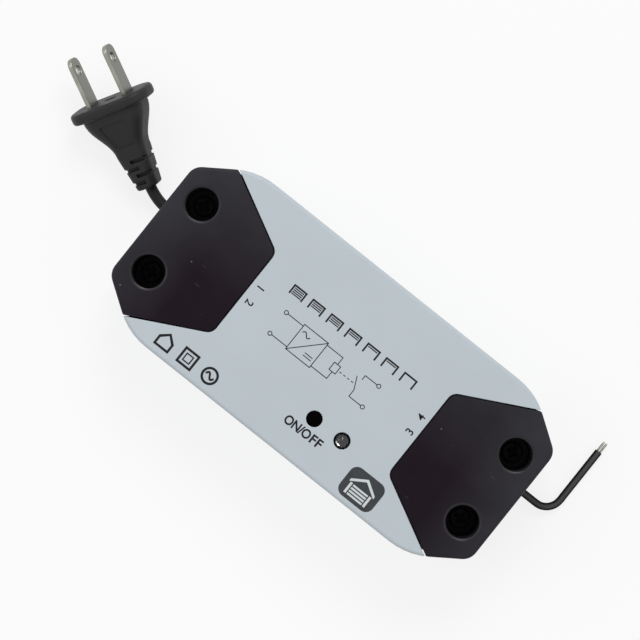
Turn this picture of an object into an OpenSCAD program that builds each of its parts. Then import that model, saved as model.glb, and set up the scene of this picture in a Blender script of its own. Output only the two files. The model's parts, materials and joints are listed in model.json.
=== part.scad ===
// Garage door controller: a screwed plastic case with a mains lead and plug at
// one end and a thin switching lead at the other. Millimetres, +X towards the
// output end, +Z up, origin at the middle of the base's underside.

/* [Case] */
// Overall length of the case
body_l = 140; // [128:1:170]
// Overall width of the case
body_w = 63; // [58:1:80]
// Overall height of the case
body_h = 32; // [29:0.5:40]
// Width of each flat end before its corners are slanted
end_w = 41; // [37:0.5:46]
// Length of each slanted corner along the case
corner_l = 16; // [12:0.5:20]
// Radius between a slanted corner and a long side
side_r = 22; // [10:1:26]
// Radius between a slanted corner and an end
end_r = 5; // [2:0.5:8]
// Wall thickness of the mouldings
wall = 2; // [1.6:0.1:2.4]
// Thickness of the base's floor
floor_t = 2.4; // [2:0.1:2.5]
// Thickness of the top plates
top_t = 2.2; // [1.8:0.1:3]
// Radius of the outer top and bottom edges
edge_r = 1.2; // [0.6:0.1:1.8]
// Height of the joint between the base and the top shell
split_z = 10; // [9.8:0.1:13]
// Length of the locating lip along each long side
lip_l = 76; // [40:1:90]
// Thickness of the locating lip
lip_t = 1.2; // [0.8:0.1:1.6]
// Height of the locating lip above the joint
lip_h = 1.8; // [1:0.1:3]
// Clearance between the lip and the top shell
lip_clear = 0.15; // [0.1:0.05:0.3]

/* [Covers] */
// Length of each end cover along the case
cover_l = 35.6; // [32:0.1:38]
// Width of a cover's inner edge
cover_in_w = 30.8; // [28:0.2:36]
// Angle at which a cover widens towards its end
cover_angle = 27.5; // [24:0.1:31]
// Radius of a cover's inner corners
cover_r = 3; // [1:0.5:5]
// Gap between a cover and the top shell
cover_gap = 0.35; // [0.2:0.05:0.6]
// Width of the ledge that carries a cover's inner edge
ledge_w = 1.8; // [1:0.1:2.4]
// Thickness of that ledge
ledge_t = 1.6; // [1:0.1:2.4]
// Length of that ledge along the case
ledge_l = 15; // [8:0.5:18]
// Bore of a screw well
well_d = 10.3; // [9:0.1:11]
// Bevel round the mouth of a screw well
well_rim = 0.5; // [0.3:0.1:0.8]
// Wall of a screw well
well_wall = 1.5; // [1:0.1:1.8]
// Distance of a screw well from the end of the case
well_end = 9.1; // [8.6:0.1:11]
// Distance between the two wells of a cover
well_pitch = 26; // [22:0.5:29]
// Height of a well's floor above the underside
well_z = 12; // [11:0.1:14]
// Thickness of a well's floor
well_t = 2; // [1.4:0.1:2.4]
// Diameter of the posts under the wells
post_d = 8; // [6:0.5:9]

/* [Screws] */
// Thread diameter of the cover screws
cover_screw_d = 3; // [2.5:0.1:3.5]
// Length of the cover screws under the head
cover_screw_l = 8; // [6:0.5:9]
// Head diameter of the cover screws
cover_head_d = 6; // [5:0.1:7]
// Head height of the cover screws
cover_head_h = 2.2; // [1.6:0.1:2.6]
// Thread diameter of the board and clamp screws
small_screw_d = 2.2; // [2:0.1:2.6]
// Head diameter of the board and clamp screws
small_head_d = 4.2; // [3.6:0.1:4.6]
// Head height of the board and clamp screws
small_head_h = 1.5; // [1:0.1:2]
// Length of the board screws under the head
board_screw_l = 4.2; // [3.4:0.1:4.6]
// Length of the clamp screws under the head
clamp_screw_l = 6; // [5:0.1:6.4]
// Clearance round a screw in its hole
screw_clear = 0.05; // [0.03:0.01:0.15]
// Room under the end of a screw
screw_end = 0.3; // [0.2:0.1:0.6]
// Width of the wall-mounting slots
wall_slot_w = 5; // [4.6:0.1:5.4]
// Length of the wall-mounting slots
wall_slot_l = 9; // [8:0.5:10]
// Distance between the wall-mounting slots
wall_slot_pitch = 97; // [95:0.5:99]
// Sideways place of the wall-mounting slots
wall_slot_y = -9.5; // [-13:0.5:-8]

/* [Cords] */
// Height of the cords where they leave the case
cord_z = 4.4; // [4.2:0.1:5]
// Sideways place of the cords
cord_y = 5.3; // [4:0.1:6]
// Diameter of the mains lead
power_d = 3.6; // [3:0.1:3.6]
// Diameter of the output lead
lead_d = 2.4; // [2:0.1:2.6]
// Clearance round a cord where it passes the end wall
cord_clear = 0.25; // [0.15:0.05:0.4]
// Diameter of a mains core
power_core_d = 1.5; // [1.2:0.1:1.6]
// Diameter of an output core
lead_core_d = 0.9; // [0.7:0.1:1]
// Gap between each core and the middle of its cord
core_gap = 0.1; // [0.05:0.05:0.15]
// Length of the output lead before its bend
lead_run = 7.5; // [6:0.5:12]
// Radius of that bend
lead_bend = 5.4; // [5.2:0.1:8]
// Length of the output lead after its bend
lead_reach = 19.4; // [15:0.2:24]
// Length of the output lead that leaves the end wall level
lead_level = 1; // [0.5:0.5:2]
// Length of the output lead in which it then sinks to the surface
lead_fall = 13; // [12:0.5:18]
// Length of the bare tips of the output lead
tip_l = 3.5; // [2:0.5:6]
// Distance of a cord clamp's middle from the end of the case
clamp_end = 17; // [16:0.5:18]
// Width of a cord clamp along the cord
clamp_w = 5; // [4.6:0.1:6]
// Length of a cord clamp across the cord
clamp_l = 17; // [15.5:0.5:17.5]
// Distance between a cord clamp's screws
clamp_pitch = 11; // [10:0.5:12]
// Thickness of a cord clamp bar
clamp_t = 3.1; // [2.8:0.1:4]
// Gap between a clamp bar and its cradle
clamp_gap = 0.3; // [0.2:0.1:0.6]

/* [Plug] */
// Distance from the end of the case to the plug's tail
plug_out = 8.6; // [7:0.2:14]
// Sideways shift of the plug's tail from the cord's exit
plug_side = 2.3; // [1:0.1:4]
// Rise of the plug's tail above the cord's exit
plug_rise = 0.4; // [0:0.1:1]
// Angle of the plug away from the case's axis
plug_turn = 27; // [0:1:35]
// Angle of the plug about its own axis, button side down
plug_roll = 24; // [0:1:35]
// Length of the moulding from its tail to its face
plug_l = 30; // [27:0.5:36]
// Width of the face flange
flange_w = 27.5; // [25:0.5:30]
// Height of the face flange
flange_h = 16.5; // [15:0.5:19]
// Thickness of the face flange
flange_t = 3.6; // [3:0.1:5]
// Corner radius of the face flange
flange_r = 6.8; // [5.5:0.1:7.2]
// Radius of the face flange's edges
flange_edge = 1.1; // [0.6:0.1:1.4]
// Width of the grip behind the flange
grip_w = 21; // [19:0.5:23]
// Height of the grip behind the flange
grip_h = 13; // [11:0.5:14]
// Length of the slotted strain relief
relief_l = 12; // [10:0.5:13]
// Width of the strain relief where it joins the grip
neck_w = 10.4; // [9:0.2:12]
// Height of the strain relief where it joins the grip
neck_h = 8.4; // [7:0.2:9]
// Width and height of the strain relief's tail
tail_w = 7.4; // [6:0.1:7.6]
// Corner radius of the strain relief
relief_r = 2.2; // [1.6:0.1:2.8]
// Corner radius of the grip where it meets the flange
grip_r = 4.5; // [3:0.1:5]
// Width of a slot in the strain relief
slot_w = 1.1; // [0.8:0.1:1.3]
// Distance between slots in the strain relief
slot_pitch = 2.4; // [2:0.1:2.6]
// Distance of the first slot from the tail
slot_start = 1.8; // [1.2:0.1:2.2]
// Depth of a slot in the strain relief's upper and lower face
slot_depth = 1.2; // [0.8:0.1:1.4]
// Depth of a slot in the strain relief's side
slot_side = 0.3; // [0.2:0.1:0.6]
// Distance of the grip's sunken panels from its ends
panel_in = 3; // [2:0.1:4]
// Depth of those panels
panel_t = 0.4; // [0.2:0.05:0.6]
// Corner radius of those panels
panel_r = 0.8; // [0.4:0.1:1.2]
// Length of the dimple in the plug's face
dimple_l = 4; // [3:0.1:5]
// Width of that dimple
dimple_w = 2.4; // [2:0.1:2.8]
// Depth of that dimple
dimple_t = 0.5; // [0.3:0.1:0.8]
// Distance between the two blades
blade_pitch = 12.7; // [12:0.1:13]
// Width of a blade
blade_w = 6.4; // [6:0.1:6.6]
// Thickness of a blade
blade_t = 1.5; // [1.3:0.1:1.7]
// Length of a blade in front of the face
blade_l = 16; // [15:0.5:18.5]
// Length of a blade's root inside the plug
blade_root = 7; // [4:0.5:10]
// Radius of the corners of a blade's tip
blade_r = 2.6; // [1:0.1:2.8]
// Diameter of the hole in a blade
blade_hole_d = 3.2; // [2.6:0.1:3.4]
// Distance of that hole from the blade's tip
blade_hole_end = 4.2; // [3.5:0.1:5]

/* [Board] */
// Height of the board's underside
board_z = 5.4; // [5:0.1:5.8]
// Thickness of the board
board_t = 1.6; // [1:0.2:2]
// Gap between the board and the long walls
board_side = 4.5; // [3:0.5:6]
// Distance of a board screw from the board's edges
board_hole_in = 4; // [3.4:0.1:4.5]
// Diameter of a board post
board_post_d = 5.6; // [5:0.1:6.5]
// Depth of a terminal block along the cord
term_d = 8; // [7:0.2:8.4]
// Height of a terminal block
term_h = 10; // [9:0.5:12]
// Distance between the two ways of a terminal block
term_pitch = 5.08; // [4.6:0.02:5.4]
// Height of a wire entry's middle above the board
entry_z = 3.2; // [2.8:0.1:3.6]
// Width and height of a wire entry
entry_w = 2.8; // [2.4:0.1:3]
// Diameter of a terminal screw
term_screw_d = 3.2; // [2.6:0.1:3.4]
// Length of a terminal screw
term_screw_l = 3; // [2.4:0.1:3.4]
// Gap between a terminal block and the wall behind it
term_gap = 0.6; // [0.4:0.1:1]
// Margin of the board beyond a terminal block
term_edge = 0.3; // [0.2:0.1:0.5]
// Free space kept between parts on the board
part_gap = 2; // [1:0.1:2.5]

/* [Button and LED] */
// Place of the button along the case
button_x = 6.3; // [3:0.1:8]
// Distance of the button and the LED from the long side
button_side = 14.9; // [13:0.1:16]
// Distance from the button to the LED
led_step = 10.7; // [9.5:0.1:13]
// Diameter of the button cap
button_d = 4.8; // [4:0.1:5.4]
// Clearance round the button cap
button_clear = 0.13; // [0.1:0.01:0.25]
// Depth of the button cap below the face
button_sink = 0.5; // [0:0.1:1]
// Travel of the button
button_travel = 0.4; // [0.2:0.05:0.5]
// Length of the guide under the face
guide_l = 6; // [3:0.5:8]
// Wall of the guide
guide_wall = 1.4; // [1:0.1:2]
// Diameter of the button cap's stop collar
collar_d = 7.2; // [6.6:0.1:8]
// Thickness of that collar
collar_t = 1.2; // [0.8:0.1:2]
// Gap between the collar and the guide at rest
collar_gap = 0.1; // [0.05:0.05:0.2]
// Width of the switch body
switch_w = 6; // [5:0.1:6.5]
// Height of the switch body
switch_h = 3.6; // [3:0.1:5]
// Diameter of the switch plunger
plunger_d = 3.4; // [2.6:0.1:3.6]
// Length of the switch plunger
plunger_l = 4; // [3:0.1:5]
// Length of the plunger inside the switch at rest
plunger_in = 2; // [1.4:0.1:2.4]
// Diameter of the LED's lens
led_d = 5; // [3:0.1:5.6]
// Clearance round the LED in its hole
led_clear = 0.1; // [0.05:0.01:0.2]
// Height of the LED's dome above the face
led_proud = 0.8; // [0:0.1:1.6]
// Height of the LED's straight lens
led_h = 6.1; // [4:0.1:7]
// Wider rim at the LED's foot
led_rim = 0.4; // [0.3:0.1:0.5]
// Thickness of that rim
led_rim_t = 1; // [0.8:0.1:1.4]
// Distance between the LED's leads
led_pitch = 2.54; // [2.2:0.02:2.6]
// Thickness of an LED lead
led_lead_t = 0.5; // [0.4:0.05:0.6]

/* [Relay] */
// Length of the relay
relay_l = 19; // [17:0.5:21]
// Width of the relay
relay_w = 15.4; // [13:0.2:17]
// Height of the relay
relay_h = 15.2; // [14.5:0.1:18]
// Sideways place of the relay
relay_y = 10; // [8:0.5:13]
// Wall of the relay's case
relay_wall = 0.8; // [0.6:0.1:1]
// Thickness of the relay's base
relay_base_t = 2.4; // [2:0.1:3]
// Diameter of the coil
coil_d = 8; // [6.5:0.1:8.6]
// Length of the coil
coil_l = 7; // [6:0.1:7.4]
// Thickness of the coil's end discs
coil_rim_t = 0.7; // [0.5:0.1:0.8]
// Height of the coil's end discs above its winding
coil_rim = 0.4; // [0.3:0.05:0.5]
// Gap between the coil and the yoke's upright leg
coil_gap = 1.2; // [1:0.1:1.4]
// Diameter of the coil's core
core_d = 3; // [2:0.1:3.6]
// Height of the core above the coil
core_proud = 0.4; // [0.2:0.1:0.6]
// Gap between the yoke and the relay's case
yoke_gap = 0.6; // [0.4:0.1:0.8]
// Thickness of the yoke and the armature
yoke_t = 1.2; // [1:0.1:1.4]
// Width of the yoke and the armature
yoke_w = 8; // [6:0.5:9]
// Air gap between the core and the armature
air_gap = 0.5; // [0.5:0.05:0.7]
// Length of the armature beyond the coil
armature_out = 2.4; // [2:0.1:2.6]
// Gap between the armature and the edge that it rocks on
rock_gap = 0.05; // [0.03:0.01:0.1]
// Thickness of a contact blade
contact_t = 0.5; // [0.4:0.1:0.7]
// Gap of the open contact
contact_gap = 0.9; // [0.8:0.05:1.1]
// Width of a contact blade
contact_w = 2; // [1.6:0.1:2.4]
// Overlap of a contact blade with the armature
contact_reach = 1.4; // [1:0.1:1.8]

/* [Power supply and radio] */
// Diameter of the mains capacitor
bulk_d = 10; // [8:0.5:11]
// Height of the mains capacitor
bulk_h = 16; // [12:0.5:18]
// Sideways place of the mains capacitor
bulk_y = 11; // [9:0.5:14]
// Length of the transformer's core
core_l = 15; // [12:0.5:16]
// Width of the transformer's core
core_w = 13; // [11:0.5:14]
// Height of the transformer's core
core_h = 13; // [11:0.5:15]
// Thickness of the transformer core's limbs
limb_t = 3; // [2.4:0.1:3.2]
// Height of the bobbin's feet, which carry the transformer
foot_h = 1; // [0.6:0.1:1.4]
// Width of the bobbin's feet
foot_w = 2; // [1.6:0.1:2.4]
// Clearance between the winding and the core's window
winding_clear = 0.1; // [0.05:0.05:0.3]
// Sideways place of the transformer
core_y = 9.5; // [8.5:0.5:12]
// Diameter of the output capacitor
small_cap_d = 8; // [6:0.5:8.5]
// Height of the output capacitor
small_cap_h = 11.5; // [9:0.5:13]
// Diameter of the fuse
fuse_d = 7; // [6:0.2:7.4]
// Height of the fuse
fuse_h = 8; // [6:0.5:9]
// Diameter of the varistor's disc
varistor_d = 7; // [5:0.5:7.5]
// Thickness of the varistor's disc
varistor_t = 3.6; // [3:0.1:5]
// Length of the rectifier
rectifier_l = 6.6; // [5:0.2:8]
// Width of the rectifier
rectifier_w = 6.2; // [5:0.2:7]
// Height of the rectifier
rectifier_h = 3.2; // [2.4:0.1:4]
// Sideways place of the fuse, varistor, rectifier and output capacitor
supply_y = -4; // [-4.4:0.1:-3.8]
// Length of the radio board
radio_l = 20; // [16:0.5:22]
// Width of the radio board
radio_w = 15; // [12:0.5:15.5]
// Thickness of the radio board
radio_t = 0.8; // [0.6:0.1:1.2]
// Length of the radio's shield
shield_l = 14; // [10:0.5:15]
// Width of the radio's shield
shield_w = 12; // [9:0.5:12]
// Height of the radio's shield
shield_h = 2.2; // [1.6:0.1:3]
// Margin round the radio's shield and board
radio_edge = 0.8; // [0.5:0.1:1]

/* [Hidden] */
$fn = 48;
arc_step = 8;   // degrees between the points of a rounded outline
over = 1;       // how far a cut runs past the face that it opens
sink = 0.3;     // how far ribs and posts run into the wall that carries them
edge_steps = 3; // steps of the rounded outer edges
rest_gap = 0.05; // gap between the plug and the surface that it lies on
plug_steps = 10; // steps of the grip from the strain relief to the flange
lead_gap = 0.2;  // gap between the output lead and the surface that it lies on
lead_steps = 20; // steps of the output lead
panel_part = 0.5; // width of a sunken panel as a part of the grip's
stub_pull = 0.37; // length of the handles of the mains lead's curve, as a part of plug_out

half_l = body_l / 2;
half_w = body_w / 2;
cover_in_x = half_l - cover_l;
ceiling_z = body_h - top_t;
inner_x = cover_in_x - cover_gap - wall;
well_x = half_l - well_end;
clamp_x = half_l - clamp_end;
cradle_top = cord_z;
cord_in_x = clamp_x - clamp_w / 2 - over;
wall_slot_x = wall_slot_pitch / 2;

board_top = board_z + board_t;
term_x = cover_in_x + term_gap;
term_out_x = term_x + term_d;
term_w = 2 * term_pitch;
board_l = 2 * (term_out_x + term_edge);
board_w = body_w - 2 * (wall + board_side);
board_hole_x = board_l / 2 - board_hole_in;
board_hole_y = board_w / 2 - board_hole_in;

button_y = button_side - half_w;
button_hole_d = button_d + 2 * button_clear;
guide_end_z = ceiling_z - guide_l;
collar_top_z = guide_end_z - collar_gap;
plunger_top_z = board_top + switch_h - plunger_in + plunger_l;
led_x = button_x + led_step;
led_foot_z = body_h + led_proud - led_h - led_d / 2;

relay_x = inner_x - part_gap - relay_l / 2;
relay_in_l = relay_l - 2 * relay_wall;
relay_in_w = relay_w - 2 * relay_wall;
yoke_x = yoke_gap - relay_in_l / 2;
coil_x = yoke_x + yoke_t + coil_gap + coil_d / 2;
coil_z = relay_base_t + yoke_t;
core_top_z = coil_z + coil_l + core_proud;
rock_z = core_top_z + air_gap - rock_gap;
armature_z = core_top_z + air_gap;
armature_l = coil_x + coil_d / 2 - yoke_x + armature_out;
bulk_x = -(inner_x - part_gap - bulk_d / 2);
core_x = bulk_x + bulk_d / 2 + part_gap + core_l / 2;
fuse_x = -(inner_x - part_gap - fuse_d / 2);
varistor_x = fuse_x + fuse_d / 2 + part_gap + varistor_t / 2;
rectifier_x = varistor_x + varistor_t / 2 + part_gap + rectifier_l / 2;
small_cap_x = rectifier_x + rectifier_l / 2 + 2 * part_gap + small_cap_d / 2;
radio_x = -(inner_x - part_gap - radio_l / 2);
radio_y = -(board_w / 2 - radio_edge - radio_w / 2);

// Plan of the case, counter-clockwise, with the radius of each corner
case_plan = [
    [half_l, -end_w / 2], [half_l, end_w / 2],
    [half_l - corner_l, half_w], [corner_l - half_l, half_w],
    [-half_l, end_w / 2], [-half_l, -end_w / 2],
    [corner_l - half_l, -half_w], [half_l - corner_l, -half_w]
];
case_radii = [end_r, end_r, side_r, side_r, end_r, end_r, side_r, side_r];

// Plan of the bay that the output cover fills, run out past the end
bay_far_x = half_l + 10;
bay_far_y = cover_in_w / 2 + (bay_far_x - cover_in_x) * tan(cover_angle);
bay_plan = [
    [cover_in_x, -cover_in_w / 2], [bay_far_x, -bay_far_y],
    [bay_far_x, bay_far_y], [cover_in_x, cover_in_w / 2]
];
bay_radii = [cover_r, over, over, cover_r];

// The plug lies with its flange's lowest corner on the surface and its tail on the mains lead
flange_low_x = plug_l - flange_t + flange_edge;
flange_low = flange_r + (flange_w / 2 - flange_r) * sin(plug_roll) + (flange_h / 2 - flange_r) * cos(plug_roll);
plug_reach = norm([flange_low_x, flange_low]);
plug_tilt = atan2(flange_low, flange_low_x) - asin((cord_z + plug_rise - rest_gap) / plug_reach);
plug_axis = [
    -cos(plug_tilt) * cos(plug_turn), cos(plug_tilt) * sin(plug_turn), sin(plug_tilt)
];
power_exit = [-half_l, cord_y, cord_z];
plug_tail = power_exit + [-plug_out, plug_side, plug_rise];

// Route of the free output lead: out of the end wall, round one bend and along the surface
lead_exit = [half_l, cord_y, cord_z];
lead_drop = cord_z - lead_d / 2 - lead_gap;
lead_arc = lead_bend * PI / 2;
lead_l = lead_run + lead_arc + lead_reach;
lead_route = [for (i = [0 : lead_steps]) lead_point(lead_l * i / lead_steps)];

// Outlines

function unit(v) = v / norm(v);

// A convex outline moved inwards by d
function inset(p, d) = [
    for (i = [0 : len(p) - 1])
        let (
            u = unit(p[i] - p[(i + len(p) - 1) % len(p)]),
            w = unit(p[(i + 1) % len(p)] - p[i]),
            n1 = [-u.y, u.x],
            n2 = [-w.y, w.x]
        )
        p[i] + d * (n1 + n2) / (1 + n1 * n2)
];

// A convex outline with its corners rounded by the radii r
function rounded(p, r, step = arc_step) = [
    for (i = [0 : len(p) - 1])
        let (
            u = unit(p[i] - p[(i + len(p) - 1) % len(p)]),
            w = unit(p[(i + 1) % len(p)] - p[i]),
            turn = atan2(cross(u, w), u * w),
            centre = p[i] - u * r[i] * tan(turn / 2) + [-u.y, u.x] * r[i],
            start = atan2(-u.x, u.y),
            n = ceil(turn / step)
        )
        for (k = [0 : n])
            centre + r[i] * [cos(start + turn * k / n), sin(start + turn * k / n)]
];

function rectangle(w, h) = [[-w / 2, -h / 2], [w / 2, -h / 2], [w / 2, h / 2], [-w / 2, h / 2]];

function tight(radii, d) = [for (r = radii) max(r - d, 0.3)];

function case_outline(d) = rounded(inset(case_plan, d), tight(case_radii, d));

function bay_outline(d) = rounded(inset(bay_plan, d), tight(bay_radii, d));

// Sweeps and blends

// Triangles over rings of n points each, with flat ends
function skin_faces(rings, n) = concat(
    [[for (k = [0 : n - 1]) k]],
    [for (i = [0 : rings - 2]) for (k = [0 : n - 1])
        [i * n + k, (i + 1) * n + (k + 1) % n, i * n + (k + 1) % n]],
    [for (i = [0 : rings - 2]) for (k = [0 : n - 1])
        [i * n + k, (i + 1) * n + k, (i + 1) * n + (k + 1) % n]],
    [[for (k = [n - 1 : -1 : 0]) (rings - 1) * n + k]]
);

module skin(rings) {
    polyhedron([for (ring = rings) each ring], skin_faces(len(rings), len(rings[0])));
}

function bezier(a, b, c, d, n) = [
    for (i = [0 : n])
        let (t = i / n, s = 1 - t)
        s * s * s * a + 3 * s * s * t * b + 3 * s * t * t * c + t * t * t * d
];

function tangent(path, i, first, last) =
    i == 0 ? first
    : i == len(path) - 1 ? last
    : unit(path[i + 1] - path[i - 1]);

// A round tube along a path, square to first and last at its ends
module tube(path, r, sides, first, last) {
    skin([
        for (i = [0 : len(path) - 1])
            let (
                t = tangent(path, i, first, last),
                across = unit(cross([0, 0, 1], t)),
                up = cross(t, across)
            )
            [for (k = [0 : sides - 1])
                path[i] + r * (across * cos(360 * k / sides) + up * sin(360 * k / sides))]
    ]);
}

// Shared shapes

module both_ends() {
    for (side = [0, 1])
        mirror([side, 0, 0])
            children();
}

module both_sides() {
    for (side = [0, 1])
        mirror([0, side, 0])
            children();
}

module prism(outline, z0, z1) {
    translate([0, 0, z0])
        linear_extrude(z1 - z0)
            polygon(outline);
}

module case_prism(d, z0, z1) {
    prism(case_outline(d), z0, z1);
}

module bay(d, z0, z1) {
    prism(bay_outline(d), z0, z1);
}

// A plate of length l and width w with round ends
module stadium(l, w, h) {
    for (x = [-1, 1])
        translate([x * (l - w) / 2, 0, 0])
            cylinder(d = w, h = h);
    translate([(w - l) / 2, -w / 2, 0])
        cube([l - w, w, h]);
}

// The case's outer form from z0 to z1, with its top or its bottom edge rounded
module case_block(z0, z1, top_edge) {
    edge = [
        for (k = [0 : edge_steps])
            let (a = 90 * k / edge_steps)
            [edge_r * (1 - cos(a)), edge_r * (1 - sin(a))]
    ];
    levels = top_edge
        ? concat([[0, z0]], [for (e = edge) [e[0], z1 - e[1]]])
        : concat([for (k = [edge_steps : -1 : 0]) [edge[k][0], z0 + edge[k][1]]], [[0, z1]]);
    skin([for (level = levels) [for (p = case_outline(level[0])) [p.x, p.y, level[1]]]]);
}

// A pan-head screw with a cross recess, its head standing on z = 0
module screw(d, l, head_d, head_h) {
    difference() {
        union() {
            cylinder(d = head_d, h = head_h);
            translate([0, 0, -l])
                cylinder(d = d, h = l + head_h / 4);
        }
        for (turn = [0, 90])
            rotate(turn)
                translate([-head_d * 0.3, -head_d * 0.06, head_h * 0.45])
                    cube([head_d * 0.6, head_d * 0.12, head_h]);
    }
}

module screw_hole(d, l) {
    translate([0, 0, -l - screw_end])
        cylinder(d = d + 2 * screw_clear, h = l + screw_end + over);
}

module at_wells() {
    for (y = [-1, 1])
        translate([well_x, y * well_pitch / 2, well_z])
            children();
}

module at_board_holes() {
    for (x = [-1, 1], y = [-1, 1])
        translate([x * board_hole_x, y * board_hole_y, board_top])
            children();
}

module at_clamp_screws() {
    for (y = [-1, 1])
        translate([clamp_x, cord_y + y * clamp_pitch / 2, cord_z + clamp_gap + clamp_t])
            children();
}

module cord_bore(d, x0, x1) {
    translate([x0, cord_y, cord_z])
        rotate([0, 90, 0])
            cylinder(d = d, h = x1 - x0);
}

// Case

module cradle() {
    translate([clamp_x - clamp_w / 2, cord_y - clamp_l / 2, floor_t - sink])
        cube([clamp_w, clamp_l, cradle_top - floor_t + sink]);
}

module lip() {
    outer_y = half_w - wall - lip_clear;
    translate([-lip_l / 2, 0, 0])
        rotate([90, 0, 90])
            linear_extrude(lip_l)
                polygon([
                    [outer_y - lip_t, split_z - lip_h], [half_w - wall + sink, split_z - 2 * lip_h],
                    [half_w - wall + sink, split_z - sink], [outer_y, split_z - sink],
                    [outer_y, split_z + lip_h], [outer_y - lip_t, split_z + lip_h]
                ]);
}

module end_cuts(cord_d) {
    cord_bore(cord_d + 2 * cord_clear, half_l - wall - over, half_l + over);
    cord_bore(cord_d, clamp_x - clamp_w, clamp_x + clamp_w);
    at_clamp_screws() screw_hole(small_screw_d, clamp_screw_l);
    at_wells() screw_hole(cover_screw_d, cover_screw_l);
    translate([wall_slot_x, wall_slot_y, -over])
        stadium(wall_slot_l, wall_slot_w, floor_t + 2 * over);
}

module base_shell() {
    color([0.72, 0.755, 0.78])
        difference() {
            union() {
                difference() {
                    case_block(0, split_z, false);
                    case_prism(wall, floor_t, split_z + over);
                    both_ends() bay(-cover_gap, cord_z, split_z + over);
                }
                both_ends() {
                    for (y = [-1, 1])
                        translate([well_x, y * well_pitch / 2, floor_t - sink])
                            cylinder(d = post_d, h = well_z - well_t - floor_t + sink);
                    cradle();
                }
                for (x = [-1, 1], y = [-1, 1])
                    translate([x * board_hole_x, y * board_hole_y, floor_t - sink])
                        cylinder(d = board_post_d, h = board_z - floor_t + sink);
                both_sides() lip();
            }
            end_cuts(lead_d);
            mirror([1, 0, 0]) end_cuts(power_d);
            at_board_holes() screw_hole(small_screw_d, board_screw_l);
        }
}

// The ledge under a cover's inner edges
module ledge() {
    difference() {
        bay(-cover_gap - sink, ceiling_z - ledge_t, ceiling_z);
        translate([ledge_w + sink, 0, 0])
            bay(-cover_gap, ceiling_z - ledge_t - over, ceiling_z + over);
        translate([cover_in_x + ledge_l, -bay_far_y - over, ceiling_z - ledge_t - over])
            cube([bay_far_x, 2 * (bay_far_y + over), ledge_t + 2 * over]);
    }
}

module top_shell() {
    color([0.74, 0.776, 0.804])
        difference() {
            union() {
                difference() {
                    case_block(split_z, body_h, true);
                    both_ends() bay(-cover_gap, split_z - over, body_h + over);
                    difference() {
                        case_prism(wall, split_z - over, ceiling_z);
                        both_ends() bay(-cover_gap - wall, split_z - 2 * over, body_h);
                    }
                }
                both_ends() ledge();
                translate([button_x, button_y, guide_end_z])
                    cylinder(d = button_hole_d + 2 * guide_wall, h = guide_l + sink);
            }
            translate([button_x, button_y, guide_end_z - over])
                cylinder(d = button_hole_d, h = guide_l + top_t + 2 * over);
            translate([led_x, button_y, ceiling_z - over])
                cylinder(d = led_d + 2 * led_clear, h = top_t + 2 * over);
        }
}

// A cover for the output end: plate, skirt and two screw wells
module cover(cord_d) {
    color([0.17, 0.155, 0.175])
        difference() {
            union() {
                difference() {
                    intersection() {
                        case_block(cord_z, body_h, true);
                        bay(0, cord_z - over, body_h + over);
                    }
                    case_prism(wall, cord_z - over, ceiling_z);
                }
                at_wells()
                    translate([0, 0, -well_t])
                        cylinder(d = well_d + 2 * well_wall, h = ceiling_z - well_z + well_t + sink);
            }
            at_wells() {
                cylinder(d = well_d, h = body_h);
                translate([0, 0, body_h - well_z - well_rim])
                    cylinder(d1 = well_d, d2 = well_d + 2 * (well_rim + over), h = well_rim + over);
                screw_hole(cover_screw_d, cover_screw_l);
            }
            cord_bore(cord_d + 2 * cord_clear, half_l - wall - over, half_l + over);
        }
}

module input_cover() {
    mirror([1, 0, 0]) cover(power_d);
}

module output_cover() {
    cover(lead_d);
}

module cover_screws() {
    color([0.16, 0.16, 0.17])
        both_ends() at_wells() screw(cover_screw_d, cover_screw_l, cover_head_d, cover_head_h);
}

// Cord clamps, cords and wires

module clamp_bar(cord_d) {
    color([0.2, 0.2, 0.21])
        difference() {
            translate([clamp_x - clamp_w / 2, cord_y - clamp_l / 2, cord_z + clamp_gap])
                cube([clamp_w, clamp_l, clamp_t]);
            cord_bore(cord_d, clamp_x - clamp_w, clamp_x + clamp_w);
            at_clamp_screws() screw_hole(small_screw_d, clamp_screw_l);
        }
}

module input_clamp() {
    mirror([1, 0, 0]) clamp_bar(power_d);
}

module output_clamp() {
    clamp_bar(lead_d);
}

module clamp_screws() {
    color("silver")
        both_ends()
            at_clamp_screws() screw(small_screw_d, clamp_screw_l, small_head_d, small_head_h);
}

// Two cores from a cord's inner end up into the terminal's entries
module cores(core_d) {
    for (y = [-1, 1])
        let (
            from = [cord_in_x, cord_y + y * (core_d / 2 + core_gap), cord_z],
            to = [term_out_x - 1.5, cord_y + y * term_pitch / 2, board_top + entry_z],
            pull = (from.x - to.x) / 2
        )
        tube(bezier(from, from - [pull, 0, 0], to + [pull, 0, 0], to, 8),
             core_d / 2, 8, [-1, 0, 0], [-1, 0, 0]);
}

module input_wires() {
    color("sienna") mirror([1, 0, 0]) cores(power_core_d);
}

module output_wires() {
    color("firebrick") cores(lead_core_d);
}

module power_tail() {
    color([0.1, 0.1, 0.1])
        tube([[-cord_in_x, cord_y, cord_z], power_exit], power_d / 2, 12, [-1, 0, 0], [-1, 0, 0]);
}

module power_cord() {
    pull = stub_pull * plug_out;
    route = bezier(power_exit, power_exit - [pull, 0, 0], plug_tail - pull * plug_axis, plug_tail, 8);
    color([0.1, 0.1, 0.1])
        tube(route, power_d / 2, 12, [-1, 0, 0], plug_axis);
}

module output_tail() {
    color([0.1, 0.1, 0.1])
        tube([[cord_in_x, cord_y, cord_z], lead_exit], lead_d / 2, 8, [1, 0, 0], [1, 0, 0]);
}

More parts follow.
